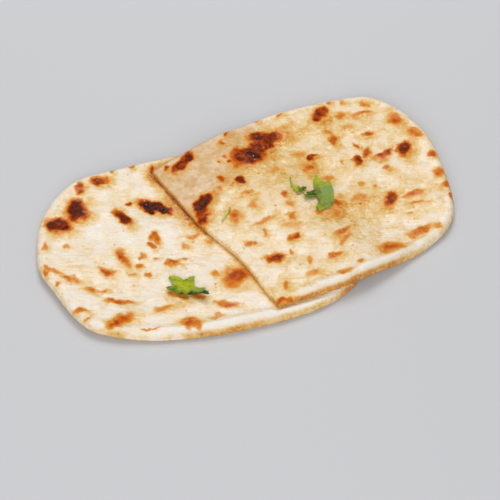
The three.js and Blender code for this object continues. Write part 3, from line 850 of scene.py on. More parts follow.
def make_half(half):
    """Builds one half's closed skin, with the numbers for its material on every point."""
    edge, out, on_cut = outline_steps(half)
    middle = np.array(half.middle, float)

    def ring_points(shares):
        spots = middle + (edge - middle) * np.array(shares)[:, None, None]
        x, y = spots[..., 0], spots[..., 1]
        from_rim, from_cut = edge_distances(half, x, y)
        last = np.array(shares) == 1
        from_rim[np.ix_(last, ~on_cut)] = 0
        from_cut[np.ix_(last, on_cut)] = 0
        return x, y, from_rim, from_cut

    x, y, from_rim, from_cut = ring_points(face_rings())
    scorch, halo = scorch_depth(half.scorch, x, y)
    large = face_height(half, x, y, from_rim, from_cut)
    face = np.stack([x, y, large + fine_relief(half, x, y, from_rim, from_cut, scorch)], axis=-1)

    ux, uy, under_rim, under_cut = ring_points([1, *UNDER_SHARES])
    under = np.stack([ux, uy, half.bed(ux, uy) + tuck(under_rim, under_cut)], axis=-1)

    down = np.linspace(0, 1, SIDE_RINGS + 2)[1:-1, None]
    side = face[-1] + (under[0] - face[-1]) * down[..., None]
    pores = uneven(side[..., 0] + side[..., 1], side[..., 2] * PORE_FLATTENING, *CUT_PORES)
    bulge = np.sin(math.pi * down) * np.where(on_cut, -np.maximum(pores, 0), RIM_BULGE)
    side[..., :2] += out * bulge[..., None]

    tops = np.array([face[0, :, 2].mean(), under[-1, :, 2].mean()])
    rings = np.concatenate([face, side, under])
    made = closed_skin(half.name + "_crust", rings, [*middle, tops[0]], [*middle, tops[1]])

    lips = white_lip(half, x, y, from_rim)
    gold = half.toast(x, y) + HALO_GOLD * halo
    gold = gold * (1 - LIP_HIDES_GOLD * lips) + edge_gold(half, x, y, from_rim, from_cut, on_cut)
    # Painted shade: the right half's back corner beyond the fold, which turns from the lamp, is tinted beige
    # by this.
    dull = beyond_fold(x, y) if half is right else np.zeros_like(x)
    layers = {
        "scorch": (scorch, scorch[-1] * (1 - down), 0),
        "toast": (gold, gold[-1] + SIDE_BROWN * down, UNDER_GOLD),
        "lip": (lips, lips[-1] * (1 - down), 0),
        "dull": (dull, dull[-1] * (1 - down), 0),
    }
    for name, (on_face, on_side, below) in layers.items():
        values = np.vstack([on_face, on_side, np.full(ux.shape, float(below))])
        write_attribute(made, name, values, values[0].mean(), below)

    stands_for(made, half.name)
    print(made.name, len(made.data.vertices), "points, up to", round(float(face[..., 2].max()), 1), "mm high")
    return made


crusts = [make_half(left), make_half(right)]

# %% [markdown]
# Building materials from nodes.
#
# Colours are easier to choose as the 0 to 255 values of a picture, so a helper turns them into the linear
# values that Blender works in. Another adds a node and joins or sets its inputs in one line, and short names
# for the usual steps keep a long chain readable.

# %% Building materials from nodes
def picture_colour(red, green, blue):
    """A colour from 0 to 255 as Blender's linear one: under 0.04 a straight line, above it a power of 2.4."""
    shares = [value / 255 for value in (red, green, blue)]
    linear = [s / 12.92 if s <= 0.04045 else ((s + 0.055) / 1.055) ** 2.4 for s in shares]
    return (*linear, 1)


def is_socket(value):
    """Whether a value comes out of a node."""
    return isinstance(value, bpy.types.NodeSocket)


def feed(tree, socket, value):
    """Joins an input to another node's output, or sets it to a plain value."""
    if is_socket(value):
        tree.links.new(value, socket)
    else:
        socket.default_value = value


def node(tree, kind, inputs=None, **settings):
    """Adds a node, sets its options, and joins or sets each named or numbered input."""
    made = tree.nodes.new(kind)
    for name, value in settings.items():
        setattr(made, name, value)
    for name, value in (inputs or {}).items():
        feed(tree, made.inputs[name], value)
    return made


def sums(tree, operation, first, *others):
    """One arithmetic step after another on values or sockets."""
    for other in others:
        first = node(tree, "ShaderNodeMath", {0: first, 1: other}, operation=operation).outputs[0]
    return first


def plus(tree, *values):
    """Values or sockets added up."""
    return sums(tree, "ADD", *values)


def times(tree, *values):
    """Values or sockets multiplied."""
    return sums(tree, "MULTIPLY", *values)


def rest_of(tree, share):
    """What a share leaves of 1."""
    return sums(tree, "SUBTRACT", 1.0, share)


def between(tree, value, low, high, to_low=0.0, to_high=1.0):
    """A value eased from one range to another and held at its ends."""
    inputs = {"Value": value, "From Min": low, "From Max": high, "To Min": to_low, "To Max": to_high}
    return node(tree, "ShaderNodeMapRange", inputs, interpolation_type="SMOOTHSTEP").outputs["Result"]


def blend_colour(tree, share, a, b):
    """Colour a turned towards colour b by the share."""
    made = node(tree, "ShaderNodeMix", data_type="RGBA")
    for identifier, value in (("Factor_Float", share), ("A_Color", a), ("B_Color", b)):
        feed(tree, next(s for s in made.inputs if s.identifier == identifier), value)
    return next(s for s in made.outputs if s.identifier == "Result_Color")


print("linear value of a picture's mid grey:", round(picture_colour(128, 128, 128)[0], 3))

# %% Textures and material ends
def object_place(tree):
    """The point in the object's own space."""
    return node(tree, "ShaderNodeTexCoord").outputs["Object"]


def object_noise(tree, size_mm, detail=3.0, roughness=0.55, distortion=0.0):
    """Blender's noise in object space, with features of about the size in millimetres, which may be a
    socket."""
    scale = sums(tree, "DIVIDE", 1 / MM, size_mm) if is_socket(size_mm) else 1 / (size_mm * MM)
    inputs = {
        "Vector": object_place(tree), "Scale": scale, "Detail": detail, "Roughness": roughness,
        "Distortion": distortion,
    }
    return node(tree, "ShaderNodeTexNoise", inputs).outputs["Fac"]


def bumped(tree, layers):
    """A normal bent by layers of (strength, depth in millimetres, height), one after another."""
    below = {}
    for strength, depth_mm, height in layers:
        inputs = {"Strength": strength, "Distance": depth_mm * MM, "Height": height, **below}
        below = {"Normal": node(tree, "ShaderNodeBump", inputs).outputs[0]}
    return below["Normal"]


def new_material(name):
    """An empty node material, and its tree."""
    made = bpy.data.materials.new(name)
    made.use_nodes = True
    made.node_tree.nodes.clear()
    return made, made.node_tree


def finish_material(tree, inputs):
    """The surface shader at the end of the chain, joined to the output."""
    shader = node(tree, "ShaderNodeBsdfPrincipled", inputs)
    node(tree, "ShaderNodeOutputMaterial", {"Surface": shader.outputs["BSDF"]})


def new_group(name, takes, gives):
    """An empty node group that takes and gives named values, its tree, and the two ends inside it."""
    tree = bpy.data.node_groups.new(name, "ShaderNodeTree")
    for label, value in takes.items():
        socket = tree.interface.new_socket(label, in_out="INPUT", socket_type="NodeSocketFloat")
        socket.default_value = value
    for label in gives:
        tree.interface.new_socket(label, in_out="OUTPUT", socket_type="NodeSocketFloat")
    return tree, tree.nodes.new("NodeGroupInput").outputs, tree.nodes.new("NodeGroupOutput").inputs


print("scale of a noise with 2 mm features:", 1 / (2 * MM))

# %% [markdown]
# A shared mottle.
#
# Bread, leaf and stem all change colour a little from spot to spot, at one size for the broad change and at
# a smaller one for the fine. That is one node group with the two sizes as inputs, used in each material with
# its own values, so that a better mottle improves them all.

# %% A shared mottle
MOTTLE, m_in, m_out = new_group(
    "soft_mottle", {"Broad Size": 12.0, "Fine Size": 2.5, "Fine Share": 0.4}, ["Broad", "Fine", "Both"]
)
broad = between(MOTTLE, object_noise(MOTTLE, m_in["Broad Size"], 2.0, 0.5), 0.32, 0.68)
fine = between(MOTTLE, object_noise(MOTTLE, m_in["Fine Size"], 4.0, 0.6), 0.3, 0.7)
broad_part = times(MOTTLE, broad, rest_of(MOTTLE, m_in["Fine Share"]))
both = plus(MOTTLE, times(MOTTLE, fine, m_in["Fine Share"]), broad_part)
for label, value in (("Broad", broad), ("Fine", fine), ("Both", both)):
    MOTTLE.links.new(value, m_out[label])


def mottle(tree, broad_size, fine_size, fine_share):
    """Places the shared mottle in a material and returns its outputs."""
    placed = node(tree, "ShaderNodeGroup", node_tree=MOTTLE)
    for name, value in (("Broad Size", broad_size), ("Fine Size", fine_size), ("Fine Share", fine_share)):
        placed.inputs[name].default_value = value
    return placed.outputs


print("group:", MOTTLE.name, [socket.name for socket in MOTTLE.interface.items_tree])

# %% [markdown]
# The crust.
#
# The numbers on the mesh say how toasted and how scorched each spot is, where the lips are white and where
# the back corner is dulled by painted shade. The shader adds what is finer than the mesh. Toasting becomes a
# colour with one ramp, from white through gold to brown, and scorching with another, from gold through orange
# and red-brown to a purplish black. Noise roughens both, pale flecks, partly paler dough and partly painted
# glints of butter, and small golden specks are strewn over them, and streaks follow the way the dough was
# stretched. The darkest marks carry a little grey ash and a few painted highlights, small white glints of
# butter. Melted butter lies unevenly, so the gloss comes and goes.

# %% Helpers for spots and streaks
SPECK_RAGGED = 420.0
SPECK_BEND = 1.8 * MM
SPECK_SMALLEST = 0.4
SPECK_EDGE = (1.0, 0.35)


def read(tree, name):
    """A number that was put on the mesh."""
    return node(tree, "ShaderNodeAttribute", attribute_name=name).outputs["Fac"]


def stepped_ramp(tree, value, stops):
    """The colour at a value between stops that start at 0."""
    last = stops[-1][0]
    ramp = node(tree, "ShaderNodeValToRGB", {"Fac": sums(tree, "DIVIDE", value, last)})
    elements = ramp.color_ramp.elements
    elements.remove(elements[1])
    for at, colour in stops:
        stop = elements.new(at / last) if at else elements[0]
        stop.color = picture_colour(*colour)
    return ramp.outputs["Color"]


def specks(tree, pitch_mm, radius, keep):
    """Small ragged spots, one in some of the cells of a Voronoi pattern: 1 in a spot and 0 outside it."""
    place = object_place(tree)
    shift = node(tree, "ShaderNodeTexNoise", {"Vector": place, "Scale": SPECK_RAGGED, "Detail": 3.0})
    inputs = {0: shift.outputs["Color"], "Scale": SPECK_BEND}
    bend_by = node(tree, "ShaderNodeVectorMath", inputs, operation="SCALE").outputs[0]
    bent = node(tree, "ShaderNodeVectorMath", {0: place, 1: bend_by}, operation="ADD").outputs[0]
    cells = node(tree, "ShaderNodeTexVoronoi", {"Vector": bent, "Scale": 1 / (pitch_mm * MM)})
    chance = node(tree, "ShaderNodeSeparateColor", {"Color": cells.outputs["Color"]}).outputs
    size = between(tree, chance["Green"], 0.0, 1.0, radius * SPECK_SMALLEST, radius)
    spot = between(tree, sums(tree, "DIVIDE", cells.outputs["Distance"], size), *SPECK_EDGE)
    return times(tree, spot, sums(tree, "LESS_THAN", chance["Red"], keep))


def streaks(tree, long_mm, thin_mm):
    """Noise drawn out along the way the dough was stretched."""
    inputs = {"Vector": object_place(tree), "Rotation": (0, 0, -STRETCH_TURN)}
    turned = node(tree, "ShaderNodeMapping", inputs).outputs[0]
    long_scale, thin_scale = 1 / (long_mm * MM), 1 / (thin_mm * MM)
    inputs = {"Vector": turned, "Scale": (long_scale, thin_scale, thin_scale)}
    drawn = node(tree, "ShaderNodeMapping", inputs).outputs[0]
    inputs = {"Vector": drawn, "Scale": 1.0, "Detail": 3.0}
    return node(tree, "ShaderNodeTexNoise", inputs).outputs["Fac"]


print("specks are bent by", round(SPECK_BEND / MM, 1), "mm")

# %% The crust
# Each stop is (amount of toasting or scorching, colour).
TOAST_STOPS = [
    (0.0, (255, 245, 234)), (0.2, (253, 236, 212)), (0.45, (244, 215, 164)), (0.8, (233, 190, 112)),
    (1.15, (220, 152, 64)), (1.7, (172, 94, 34)),
]
SCORCH_STOPS = [
    (0.0, (242, 204, 132)), (0.2, (235, 173, 85)), (0.38, (225, 140, 50)), (0.52, (209, 105, 24)),
    (0.66, (179, 74, 12)), (0.8, (128, 44, 6)), (0.95, (80, 24, 4)), (1.1, (42, 12, 6)),
    (1.3, (22, 8, 8)),
]
LIP_WHITE = picture_colour(255, 249, 240)
# Painted highlight colour of the butter glints.
PAINTED_GLINT_WHITE = picture_colour(254, 246, 230)
# Painted shade colour for the back corner beyond the fold.
PAINTED_SHADE_BEIGE = picture_colour(214, 165, 102)
ASH = picture_colour(130, 92, 84)
# Each noise is (size in millimetres, detail, roughness).
FLECKS_AND_GLINTS = (2.0, 2.0, 0.5)
BURNT_GRAIN = (3.6, 3.0, 0.55)
ASH_FLECKS = (0.9, 2.0, 0.5)
BUTTER_POOLS = (11.0, 3.0, 0.55)
SKIN = (0.8, 4.0, 0.6)
WRINKLED_SKIN = (2.6, 4.0, 0.6)
# Specks are (pitch in millimetres, radius, share kept).
GOLD_SPECKS = (3.8, 0.32, 0.5)
BURNT_SPECKS = (8.0, 0.18, 0.35)
PAINTED_GLINTS = (2.6, 0.3, 0.2)
# Each range is (from low, from high, to low, to high), and the last two are 0 and 1 if left out.
FLECK_AND_GLINT_EDGE = (0.52, 0.64)
GOLD_SPECK_PATCHES = (0.2, 0.8)
BURN_EDGE = (0.05, 0.3)
ASH_EDGE = (0.46, 0.62)
BUTTER_EDGE = (0.42, 0.62)
WOBBLE = (0.1, 0.9, -0.22, 0.22)
LESS_WHERE_GOLD = (0.7, 1.1, 1.0, 0.4)
FEWER_WHERE_GOLD = (0.7, 1.1, 1.0, 0.3)
BROAD_GOLD = (0.1, 0.9, 0.0, 0.14)
STREAK_GOLD = (0.5, 0.72, 0.0, 0.22)
FOLD_SHADE_SPREAD = (0.0, 1.0, 0.45, 0.75)
GRAIN = (0.3, 0.7, 0.76, 1.06)
ASH_WHERE_DARK = (0.8, 1.05, 0.0, 0.34)
PAINTED_GLINTS_ON_MARKS = (0.25, 0.45, 0.0, 0.45)
BURNT_DRYNESS = (0.4, 0.8, 0.0, 0.8)
FLECK_AND_GLINT_PALER = 0.3
SPECK_GOLD = 0.42
SMALL_BURN = 0.42
LIP_COVER = 0.85
BUTTER_COAT = 0.3

crust, tree = new_material("buttered_crust")
toasted = read(tree, "toast")
patches = mottle(tree, 8.5, 2.6, 0.5)
drawn_out = streaks(tree, 9.0, 1.5)
# Pale flecks, partly paler dough and partly painted glints of butter, made by toasting those spots less.
fleck_and_glint = between(tree, object_noise(tree, *FLECKS_AND_GLINTS), *FLECK_AND_GLINT_EDGE)

wobble = times(tree, between(tree, patches["Both"], *WOBBLE), between(tree, toasted, *LESS_WHERE_GOLD))
toast = times(tree, toasted, plus(tree, wobble, 1.0))
broad_gold = between(tree, patches["Broad"], *BROAD_GOLD)
toast = plus(tree, toast, broad_gold, between(tree, drawn_out, *STREAK_GOLD))
toast = times(tree, toast, rest_of(tree, times(tree, fleck_and_glint, FLECK_AND_GLINT_PALER)))
in_patches = between(tree, patches["Broad"], *GOLD_SPECK_PATCHES)
small_spots = times(tree, specks(tree, *GOLD_SPECKS), in_patches)
small_spots = times(tree, small_spots, between(tree, toasted, *FEWER_WHERE_GOLD), SPECK_GOLD)
colour = stepped_ramp(tree, plus(tree, toast, small_spots), TOAST_STOPS)
# Painted shade: beige laid over the right half's back corner beyond the fold.
dull = times(tree, read(tree, "dull"), between(tree, patches["Both"], *FOLD_SHADE_SPREAD))
colour = blend_colour(tree, dull, colour, PAINTED_SHADE_BEIGE)
colour = blend_colour(tree, times(tree, read(tree, "lip"), LIP_COVER), colour, LIP_WHITE)

grain = between(tree, object_noise(tree, *BURNT_GRAIN, distortion=0.3), *GRAIN)
burn = times(tree, read(tree, "scorch"), grain)
burn = sums(tree, "MAXIMUM", burn, times(tree, specks(tree, *BURNT_SPECKS), grain, SMALL_BURN))
burnt = stepped_ramp(tree, burn, SCORCH_STOPS)
colour = blend_colour(tree, between(tree, burn, *BURN_EDGE), colour, burnt)
ash = between(tree, object_noise(tree, *ASH_FLECKS), *ASH_EDGE)
colour = blend_colour(tree, times(tree, ash, between(tree, burn, *ASH_WHERE_DARK)), colour, ASH)
# Painted highlights: small white glints of butter on the marks.
painted_glint = times(tree, specks(tree, *PAINTED_GLINTS), between(tree, burn, *PAINTED_GLINTS_ON_MARKS))
colour = blend_colour(tree, painted_glint, colour, PAINTED_GLINT_WHITE)

butter = between(tree, object_noise(tree, *BUTTER_POOLS), *BUTTER_EDGE)
skin = object_noise(tree, *SKIN)
wrinkled = object_noise(tree, *WRINKLED_SKIN)
dry = rest_of(tree, between(tree, burn, *BURNT_DRYNESS))
finish_material(
    tree,
    {
        "Base Color": colour,
        "Roughness": between(tree, butter, 0.0, 1.0, 0.6, 0.46),
        "Coat Weight": times(tree, butter, BUTTER_COAT, dry),
        "Coat Roughness": 0.12,
        "Specular IOR Level": 0.08,
        "Subsurface Weight": 0.15,
        "Subsurface Radius": (0.002, 0.0014, 0.0008),
        "Subsurface Scale": 0.6,
        "Normal": bumped(tree, [(0.35, 0.6, skin), (0.4, 1.0, drawn_out), (0.8, 1.4, wrinkled)]),
    },
)
for made in crusts:
    made.data.materials.append(crust)
print(crust.name, "has", len(tree.nodes), "nodes")

# %% [markdown]
# Coriander leaves.
#
# A coriander leaf is thin, with broad blunt lobes and small teeth, and it wilts a little on warm bread. Its
# edge is drawn through the tips of the lobes and the notches between them. Every ring of the grid is that
# edge drawn in towards the middle. A few soft spots say where the leaf is bright, dark or dull, and the
# darkest, along the left leaf's lifted front edge and on the right leaf's left arm, are painted shade.

# %% Shapes of the leaves
# The edge runs anticlockwise round the middle, and ribs run to the tips. Each tone is
# (x, y, size, brightness, dullness), and a brightness below 0 makes the leaf darker round it. The lowest
# brightnesses, along the left leaf's lifted front edge and on the right leaf's left arm, are painted shade. A
# ripple is (waves round the leaf, height), and a lift is (rise, direction in degrees, run).
LEFT_LEAF = {
    "middle": (-57.8, -39.4),
    "edge": [
        (10.6, -9.7), (9.1, -6.7), (10.7, -5.3), (8.4, -4.1), (6.7, -3), (5.1, -1.1), (5.3, 2), (7.1, 5.5),
        (5, 6.6), (2.5, 6), (0.2, 5.6), (-1.2, 8.2), (-3.1, 10.1), (-4.7, 11.6), (-7.8, 11.3), (-7, 7.8),
        (-7.2, 4.3), (-9.8, 4.9), (-11.8, 4.1), (-10.2, 1.7), (-8.2, -0.1), (-6.4, -1.8), (-4.3, -4.1),
        (-1.9, -5.6), (1, -6.6), (4.2, -8.3), (7.3, -10.2), (9.6, -11.6),
    ],
    "tips": [(9.6, -10.4), (10, -5.4), (6.4, 5.4), (-6.6, 10.6), (-10.8, 3.9)],
    "tones": [
        (-5, 8, 4, 0.85, 0), (5, 5, 3.5, 0.6, 0), (0, -1, 4, 1, 0), (6.2, -4.6, 2.8, 0.75, 0.95),
        (-9.5, 3, 3, 0.3, 0), (9.5, -9.5, 2, 0.3, 0), (-5, -3, 2.4, 0, 0), (0, -6, 2.6, -0.2, 0),
        (4, -8.2, 2.8, -0.3, 0), (7, -10, 2.2, -0.25, 0),
    ],
    "cup": 0.7,
    "ripple": (5, 0.4),
    "lift": (2.4, -85, 10),
}
RIGHT_LEAF = {
    "middle": (49.2, -2),
    "edge": [
        (6.7, -1.8), (7.9, 1.5), (8.3, 5), (9, 8.2), (7.1, 10.3), (4.5, 11.8), (3.7, 14), (3.9, 16.6),
        (3.3, 18.4), (1.3, 16.9), (-0.7, 14.4), (-2.2, 11.3), (-2.9, 7.8), (-3.3, 5.4), (-5.8, 5.1),
        (-10.2, 4.7), (-9.8, 2.9), (-12.3, 2.6), (-13.1, 0.3), (-11.2, -1.2), (-8.7, -1), (-5.8, -0.8),
        (-4.9, -3), (-6.1, -5.9), (-8.2, -8.3), (-10, -10.4), (-9, -12.5), (-6.7, -13.2), (-4, -12.1),
        (-1.2, -11.8), (1.4, -9.7), (4.5, -7), (5.1, -4.3),
    ],
    "tips": [(3, 17.4), (7.6, 9), (6.6, -1), (3.4, -7), (-7.8, -11.4), (-12, 1)],
    "tones": [
        (1.5, 14, 4.5, 1, 0), (6.5, 9, 3, 0.9, 0.1), (2, 2, 6, 0.45, 1), (-2, -6, 5, 0.5, 0.6),
        (-6, -11.5, 3, 0.75, 0.2), (6, -2.5, 2.5, 0.75, 0), (-3.5, 3.5, 2.5, 0.05, 0), (-7, 2, 3, 0.1, 0),
        (-11.5, 0.5, 2.5, 0.4, 0),
    ],
    "cup": 0.8,
    "ripple": (4, 0.4),
    "lift": (1.2, 8, 10),
}
print("points on the edges:", len(LEFT_LEAF["edge"]), "and", len(RIGHT_LEAF["edge"]))

# %% Edges, tones and ribs
LEAF_AROUND = 420
RIB_WIDTH = 0.28
RIB_THINNING = 1.4
LEAST_WEIGHT = 1e-6
# Each sine of the teeth is (depth, count round the leaf, phase).
COARSE_TEETH = (0.022, 31, 0)
FINE_TEETH = (0.014, 53, 1)


def tooth_wave(turn, depth, count, phase):
    """Teeth round a leaf: a sine of that many waves."""
    return depth * np.sin(count * turn + phase)


def toothed_edge(leaf):
    """The leaf's edge at even steps round it, drawn in and out a little by two sines for its teeth."""
    edge = spaced(smooth_line(leaf["edge"], closed=True), LEAF_AROUND + 1)[:-1]
    turn = np.linspace(0, 2 * math.pi, LEAF_AROUND, endpoint=False)
    return edge * (1 + tooth_wave(turn, *COARSE_TEETH) + tooth_wave(turn, *FINE_TEETH))[:, None]


def leaf_tones_and_shade(leaf, x, y):
    """Brightness, low where shade is painted, and dullness: the mean of those of the spots, weighted by a
    bell of the distance to each.
    """
    places = [tone[:3] for tone in leaf["tones"]]
    weights = [bell(np.hypot(x - cx, y - cy) / size) + LEAST_WEIGHT for cx, cy, size in places]
    tone_with_shade = sum(weight * tone[3] for weight, tone in zip(weights, leaf["tones"]))
    dull = sum(weight * tone[4] for weight, tone in zip(weights, leaf["tones"]))
    return tone_with_shade / sum(weights), dull / sum(weights)


def vein_lines(leaf, x, y):
    """1 on the ribs that run from the middle to the tips, thinning out towards them."""
    veins = np.zeros_like(x)
    for tip_x, tip_y in leaf["tips"]:
        length = math.hypot(tip_x, tip_y)
        along = (x * tip_x + y * tip_y) / length
        across = (x * tip_y - y * tip_x) / length
        thinning = ease(RIB_THINNING * (length - along) / length)
        veins = np.maximum(veins, bell(across / RIB_WIDTH) * (along > 0) * thinning)
    return veins


print("the left leaf's tone and dullness at its middle:", np.round(leaf_tones_and_shade(LEFT_LEAF, *origin), 2).T)

# %% Coriander leaves
LEAF_THICK = 0.42
LEAF_LIFT = 0.6
LEAF_RINGS = 40
EDGE_THINNING = 0.75
CRINKLE = (0.2, 2.4, 83, 2)
RIB_SINK = 0.06


def make_leaf(name, node_name, half, leaf):
    """A thin closed leaf that lies on a half: cupped, rippled, and lifted off on one side."""
    edge = toothed_edge(leaf)
    share = np.linspace(0, 1, LEAF_RINGS + 1)[1:, None]
    x, y = share * edge[:, 0], share * edge[:, 1]
    px, py = x + leaf["middle"][0], y + leaf["middle"][1]
    rise, towards, run = leaf["lift"]
    lift_x, lift_y = math.cos(math.radians(towards)), math.sin(math.radians(towards))
    lifted = rise * np.clip((x * lift_x + y * lift_y) / run, 0, 1) ** 2
    waves, height = leaf["ripple"]
    ripple = height * share * (1 + np.sin(waves * np.arctan2(edge[:, 1], edge[:, 0])))
    veins = vein_lines(leaf, x, y)
    crinkle = uneven(x, y, *CRINKLE) * share - RIB_SINK * veins
    z = face_at(half, px, py) + LEAF_LIFT + leaf["cup"] * share**2 + lifted + ripple + crinkle
    thick = LEAF_THICK * (1 - EDGE_THINNING * share**6)
    upper, lower = np.stack([px, py, z + thick], axis=-1), np.stack([px, py, z], axis=-1)[::-1]
    heart = np.array([*leaf["middle"], float(z[0].mean())])
    made = closed_skin(name, np.concatenate([upper, lower]), heart + [0, 0, LEAF_THICK], heart)
    # Low brightness along the left leaf's lifted front edge and on the right leaf's left arm is painted
    # shade.
    tone_with_shade, dull = leaf_tones_and_shade(leaf, x, y)
    for label, values in (("tone", tone_with_shade), ("dull", dull), ("vein", veins)):
        centre = values[0].mean()
        write_attribute(made, label, np.concatenate([values, values[::-1]]), centre, centre)
    stands_for(made, node_name)
    print(name, "reaches", round(float(np.hypot(*edge.T).max()), 1), "mm from its middle")
    return made


leaves = [
    make_leaf("left_leaf", "coriander_leaf_left", left, LEFT_LEAF),
    make_leaf("right_leaf", "coriander_leaf_right", right, RIGHT_LEAF),
]

# %% [markdown]
# Sprig and stem.
#
# A narrow curved strip of leaf and a short bit of stem lie on the right half. Both are a small flattened
# section carried along a smooth path, which the curve tools could do as well. With numpy the path can follow
# the height of the bread under it point by point.

# %% Sprig and stem
STRIP_STEPS = 90
STRIP_SIDES = 14
STRIP_TAPER = 0.06
STRIP_BOW = 0.18
STRIP_NICKS = 46
STRIP_SIDES_APART = 2.1
STRIP_TONE = 0.95
# The far end is darker by this amount, from this share of the length on and over this run.
FAR_END_DARKER = (0.65, 0.62, 0.16)
# Each stop is (x, y, width, lift off the bread).
SPRIG = [
    (34.8, 19, 0.9, 1), (33.4, 14, 1.2, 1.2), (32.8, 9.6, 1.8, 1.2), (35, 5.8, 4.6, 1),
    (38.4, 6.2, 3.2, 1.1), (41.4, 7.4, 1.4, 1.3),
]
STEM = [(-20.5, -1.5, 1, 0.8), (-15.7, 2.9, 1.3, 0.8), (-10.8, 7.7, 1.1, 0.8)]


def make_strip(name, node_name, half, stops, thick, teeth):
    """A flattened round section carried along the stops, rounding to a point at both ends. Teeth widen and
    narrow it, each side by its own sine."""
    line = spaced(smooth_line(stops), STRIP_STEPS)
    x, y, width, lift = line.T
    along = np.gradient(line[:, :2], axis=0)
    along /= np.linalg.norm(along, axis=1)[:, None]
    t = np.linspace(0, 1, STRIP_STEPS)
    taper = quarter_round(np.minimum(t, 1 - t) / STRIP_TAPER)
    angle = np.linspace(0, 2 * math.pi, STRIP_SIDES, endpoint=False)
    shift = STRIP_SIDES_APART * np.sign(np.cos(angle))
    nicks = 1 + teeth * np.sin(STRIP_NICKS * t[:, None] + shift)
    out = (width / 2 * taper)[:, None] * np.cos(angle) * nicks
    bow = STRIP_BOW * teeth * (out**2)
    middle = (face_at(half, x, y) + lift + thick / 2)[:, None]
    px = x[:, None] + along[:, 1:2] * out
    py = y[:, None] - along[:, 0:1] * out
    pz = middle + bow + (thick / 2 * taper)[:, None] * np.sin(angle)
    rings = np.stack([px, py, pz], axis=-1)[1:-1]
    ends = np.column_stack([x, y, middle[:, 0]])
    made = closed_skin(name, rings, ends[0], ends[-1])
    tone = np.broadcast_to(STRIP_TONE - climb(t[1:-1, None], *FAR_END_DARKER), rings.shape[:2])
    for label, values in (("tone", tone), ("dull", 0 * tone), ("vein", 0 * tone)):
        write_attribute(made, label, values, values[0].mean(), values[-1].mean())
    stands_for(made, node_name)
    print(name, "is", round(float(np.linalg.norm(np.diff(line[:, :2], axis=0), axis=1).sum()), 1), "mm long")
    return made


sprig = make_strip("sprig_leaf", "coriander_sprig", right, SPRIG, 0.8, 0.35)
stem = make_strip("short_stem", "coriander_stem", right, STEM, 1, 0.0)

# %% [markdown]
# Leaf and stem finishes.
#
# A fresh leaf is bright where it is young, darker where shade is painted on it, and a dull grey-green in
# places. Its ribs are paler, and its wax gives a soft sheen. The stem is the same plant with less green in
# it.

# %% Leaf and stem finishes
# Each stop is (brightness, colour).
LEAF_STOPS = [(0.0, (34, 44, 6)), (0.35, (100, 124, 12)), (0.7, (146, 160, 20)), (1.0, (174, 184, 24))]
STEM_STOPS = [(0.0, (170, 148, 40)), (0.5, (190, 184, 70)), (1.0, (210, 206, 112))]
LEAF_DULL = picture_colour(138, 160, 84)
LEAF_PORE = picture_colour(72, 92, 24)
LEAF_RIB = picture_colour(182, 200, 96)
LEAF_WOBBLE = (0.0, 1.0, -0.28, 0.28)
LEAF_PORES = (1.7, 0.26, 0.5)


def leaf_finish(name, stops):
    """Brightness picks the green, the shared mottle breaks it up, and dullness and ribs are laid over it."""
    material, tree = new_material(name)
    spots = mottle(tree, 3.0, 0.7, 0.4)
    tone = plus(tree, read(tree, "tone"), between(tree, spots["Both"], *LEAF_WOBBLE))
    colour = stepped_ramp(tree, tone, stops)
    laid_over = (
        (read(tree, "dull"), 0.85, LEAF_DULL),
        (read(tree, "vein"), 0.25, LEAF_RIB),
        (specks(tree, *LEAF_PORES), 0.55, LEAF_PORE),
    )
    for place, strength, laid_colour in laid_over:
        colour = blend_colour(tree, times(tree, place, strength), colour, laid_colour)
    finish_material(
        tree,
        {
            "Base Color": colour,
            "Roughness": between(tree, spots["Broad"], 0.0, 1.0, 0.42, 0.56),
            "Specular IOR Level": 0.18,
            "Subsurface Weight": 0.15,
            "Subsurface Radius": (0.0006, 0.001, 0.0003),
            "Subsurface Scale": 0.5,
            "Normal": bumped(tree, [(0.3, 0.4, object_noise(tree, 0.8, 3.0))]),
        },
    )
    return material


leaf_green = leaf_finish("fresh_leaf", LEAF_STOPS)
stem_green = leaf_finish("fresh_stem", STEM_STOPS)
for made in (*leaves, sprig):
    made.data.materials.append(leaf_green)
stem.data.materials.append(stem_green)
print("finishes:", leaf_green.name, stem_green.name)

# %% [markdown]
# Floor, light and camera.
#
# The bread lies on a plain pale floor, set a hair's breadth below its flat underside so that the two faces
# don't fight for the same place. A soft lamp behind it on the right shows each bubble by a light and a shaded
# side, and lets the raised cut shade the left half beside it. A second one in front lights the lips and the
# golden side under them, and keeps the shadows soft. The camera looks down at 50 degrees from the front left,
# through a long lens, as one stands at a table.

# %% Floor, light and camera
CAMERA_TURN = math.radians(-22)
CAMERA_HEIGHT = math.radians(50)
CAMERA_DISTANCE = 794.75 * MM
CAMERA_TARGET = Vector((-11.4, -26.6, 7.5)) * MM
CAMERA_VIEW = math.radians(22)
FLOOR_SIZE = 6.0
FLOOR_DROP = 0.05 * MM
FLOOR_GREY = picture_colour(208, 210, 215)
SKY_COLOUR = (1, 0.98, 0.96, 1)
SKY_STRENGTH = 0.34


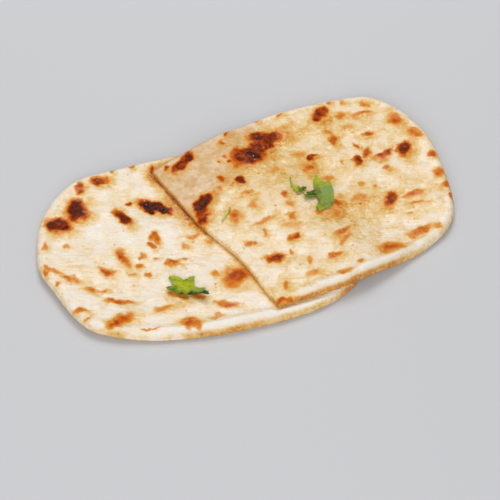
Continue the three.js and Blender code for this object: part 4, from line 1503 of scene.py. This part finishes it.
def direction(turn, height):
    """A unit direction from a turn round +Z, 0 being towards the viewer along -Y, and a height."""
    return Vector((math.sin(turn) * math.cos(height), -math.cos(turn) * math.cos(height), math.sin(height)))


def aim(thing, place, target):
    """Puts a lamp or camera in place and turns it to look at the target."""
    thing.location = place
    thing.rotation_euler = (target - place).to_track_quat("-Z", "Y").to_euler()
    bpy.context.scene.collection.objects.link(thing)


def soft_lamp(name, turn, height, distance, size, power, colour):
    """A square area lamp that shines on the bread."""
    lamp = bpy.data.lights.new(name, "AREA")
    lamp.size = size
    lamp.energy = power
    lamp.color = colour
    towards = direction(math.radians(turn), math.radians(height))
    aim(bpy.data.objects.new(name, lamp), towards * distance, Vector())


soft_lamp("back_lamp", turn=160, height=55, distance=1.6, size=0.8, power=12, colour=(1, 0.985, 0.96))
soft_lamp("front_lamp", turn=-28, height=33, distance=1.7, size=1.3, power=15.8, colour=(1, 0.99, 0.97))

floor_mesh = bpy.data.meshes.new("pale_floor")
reach = FLOOR_SIZE / 2
corners = [(-reach, -reach), (reach, -reach), (reach, reach), (-reach, reach)]
floor_mesh.from_pydata([(x, y, -FLOOR_DROP) for x, y in corners], [], [(0, 1, 2, 3)])
floor = bpy.data.objects.new("pale_floor", floor_mesh)
bpy.context.scene.collection.objects.link(floor)
floor_finish, tree = new_material("pale_floor_finish")
finish_material(tree, {"Base Color": FLOOR_GREY, "Roughness": 0.8})
floor_mesh.materials.append(floor_finish)

world = bpy.data.worlds.new("soft_daylight")
world.use_nodes = True
sky = world.node_tree.nodes["Background"]
sky.inputs["Color"].default_value = SKY_COLOUR
sky.inputs["Strength"].default_value = SKY_STRENGTH
bpy.context.scene.world = world
bpy.context.scene.view_settings.view_transform = "Standard"

lens = bpy.data.cameras.new("table_camera")
lens.angle = CAMERA_VIEW
camera = bpy.data.objects.new("table_camera", lens)
aim(camera, CAMERA_TARGET + direction(CAMERA_TURN, CAMERA_HEIGHT) * CAMERA_DISTANCE, CAMERA_TARGET)
bpy.context.scene.camera = camera
print("camera", round(CAMERA_DISTANCE, 3), "m away")
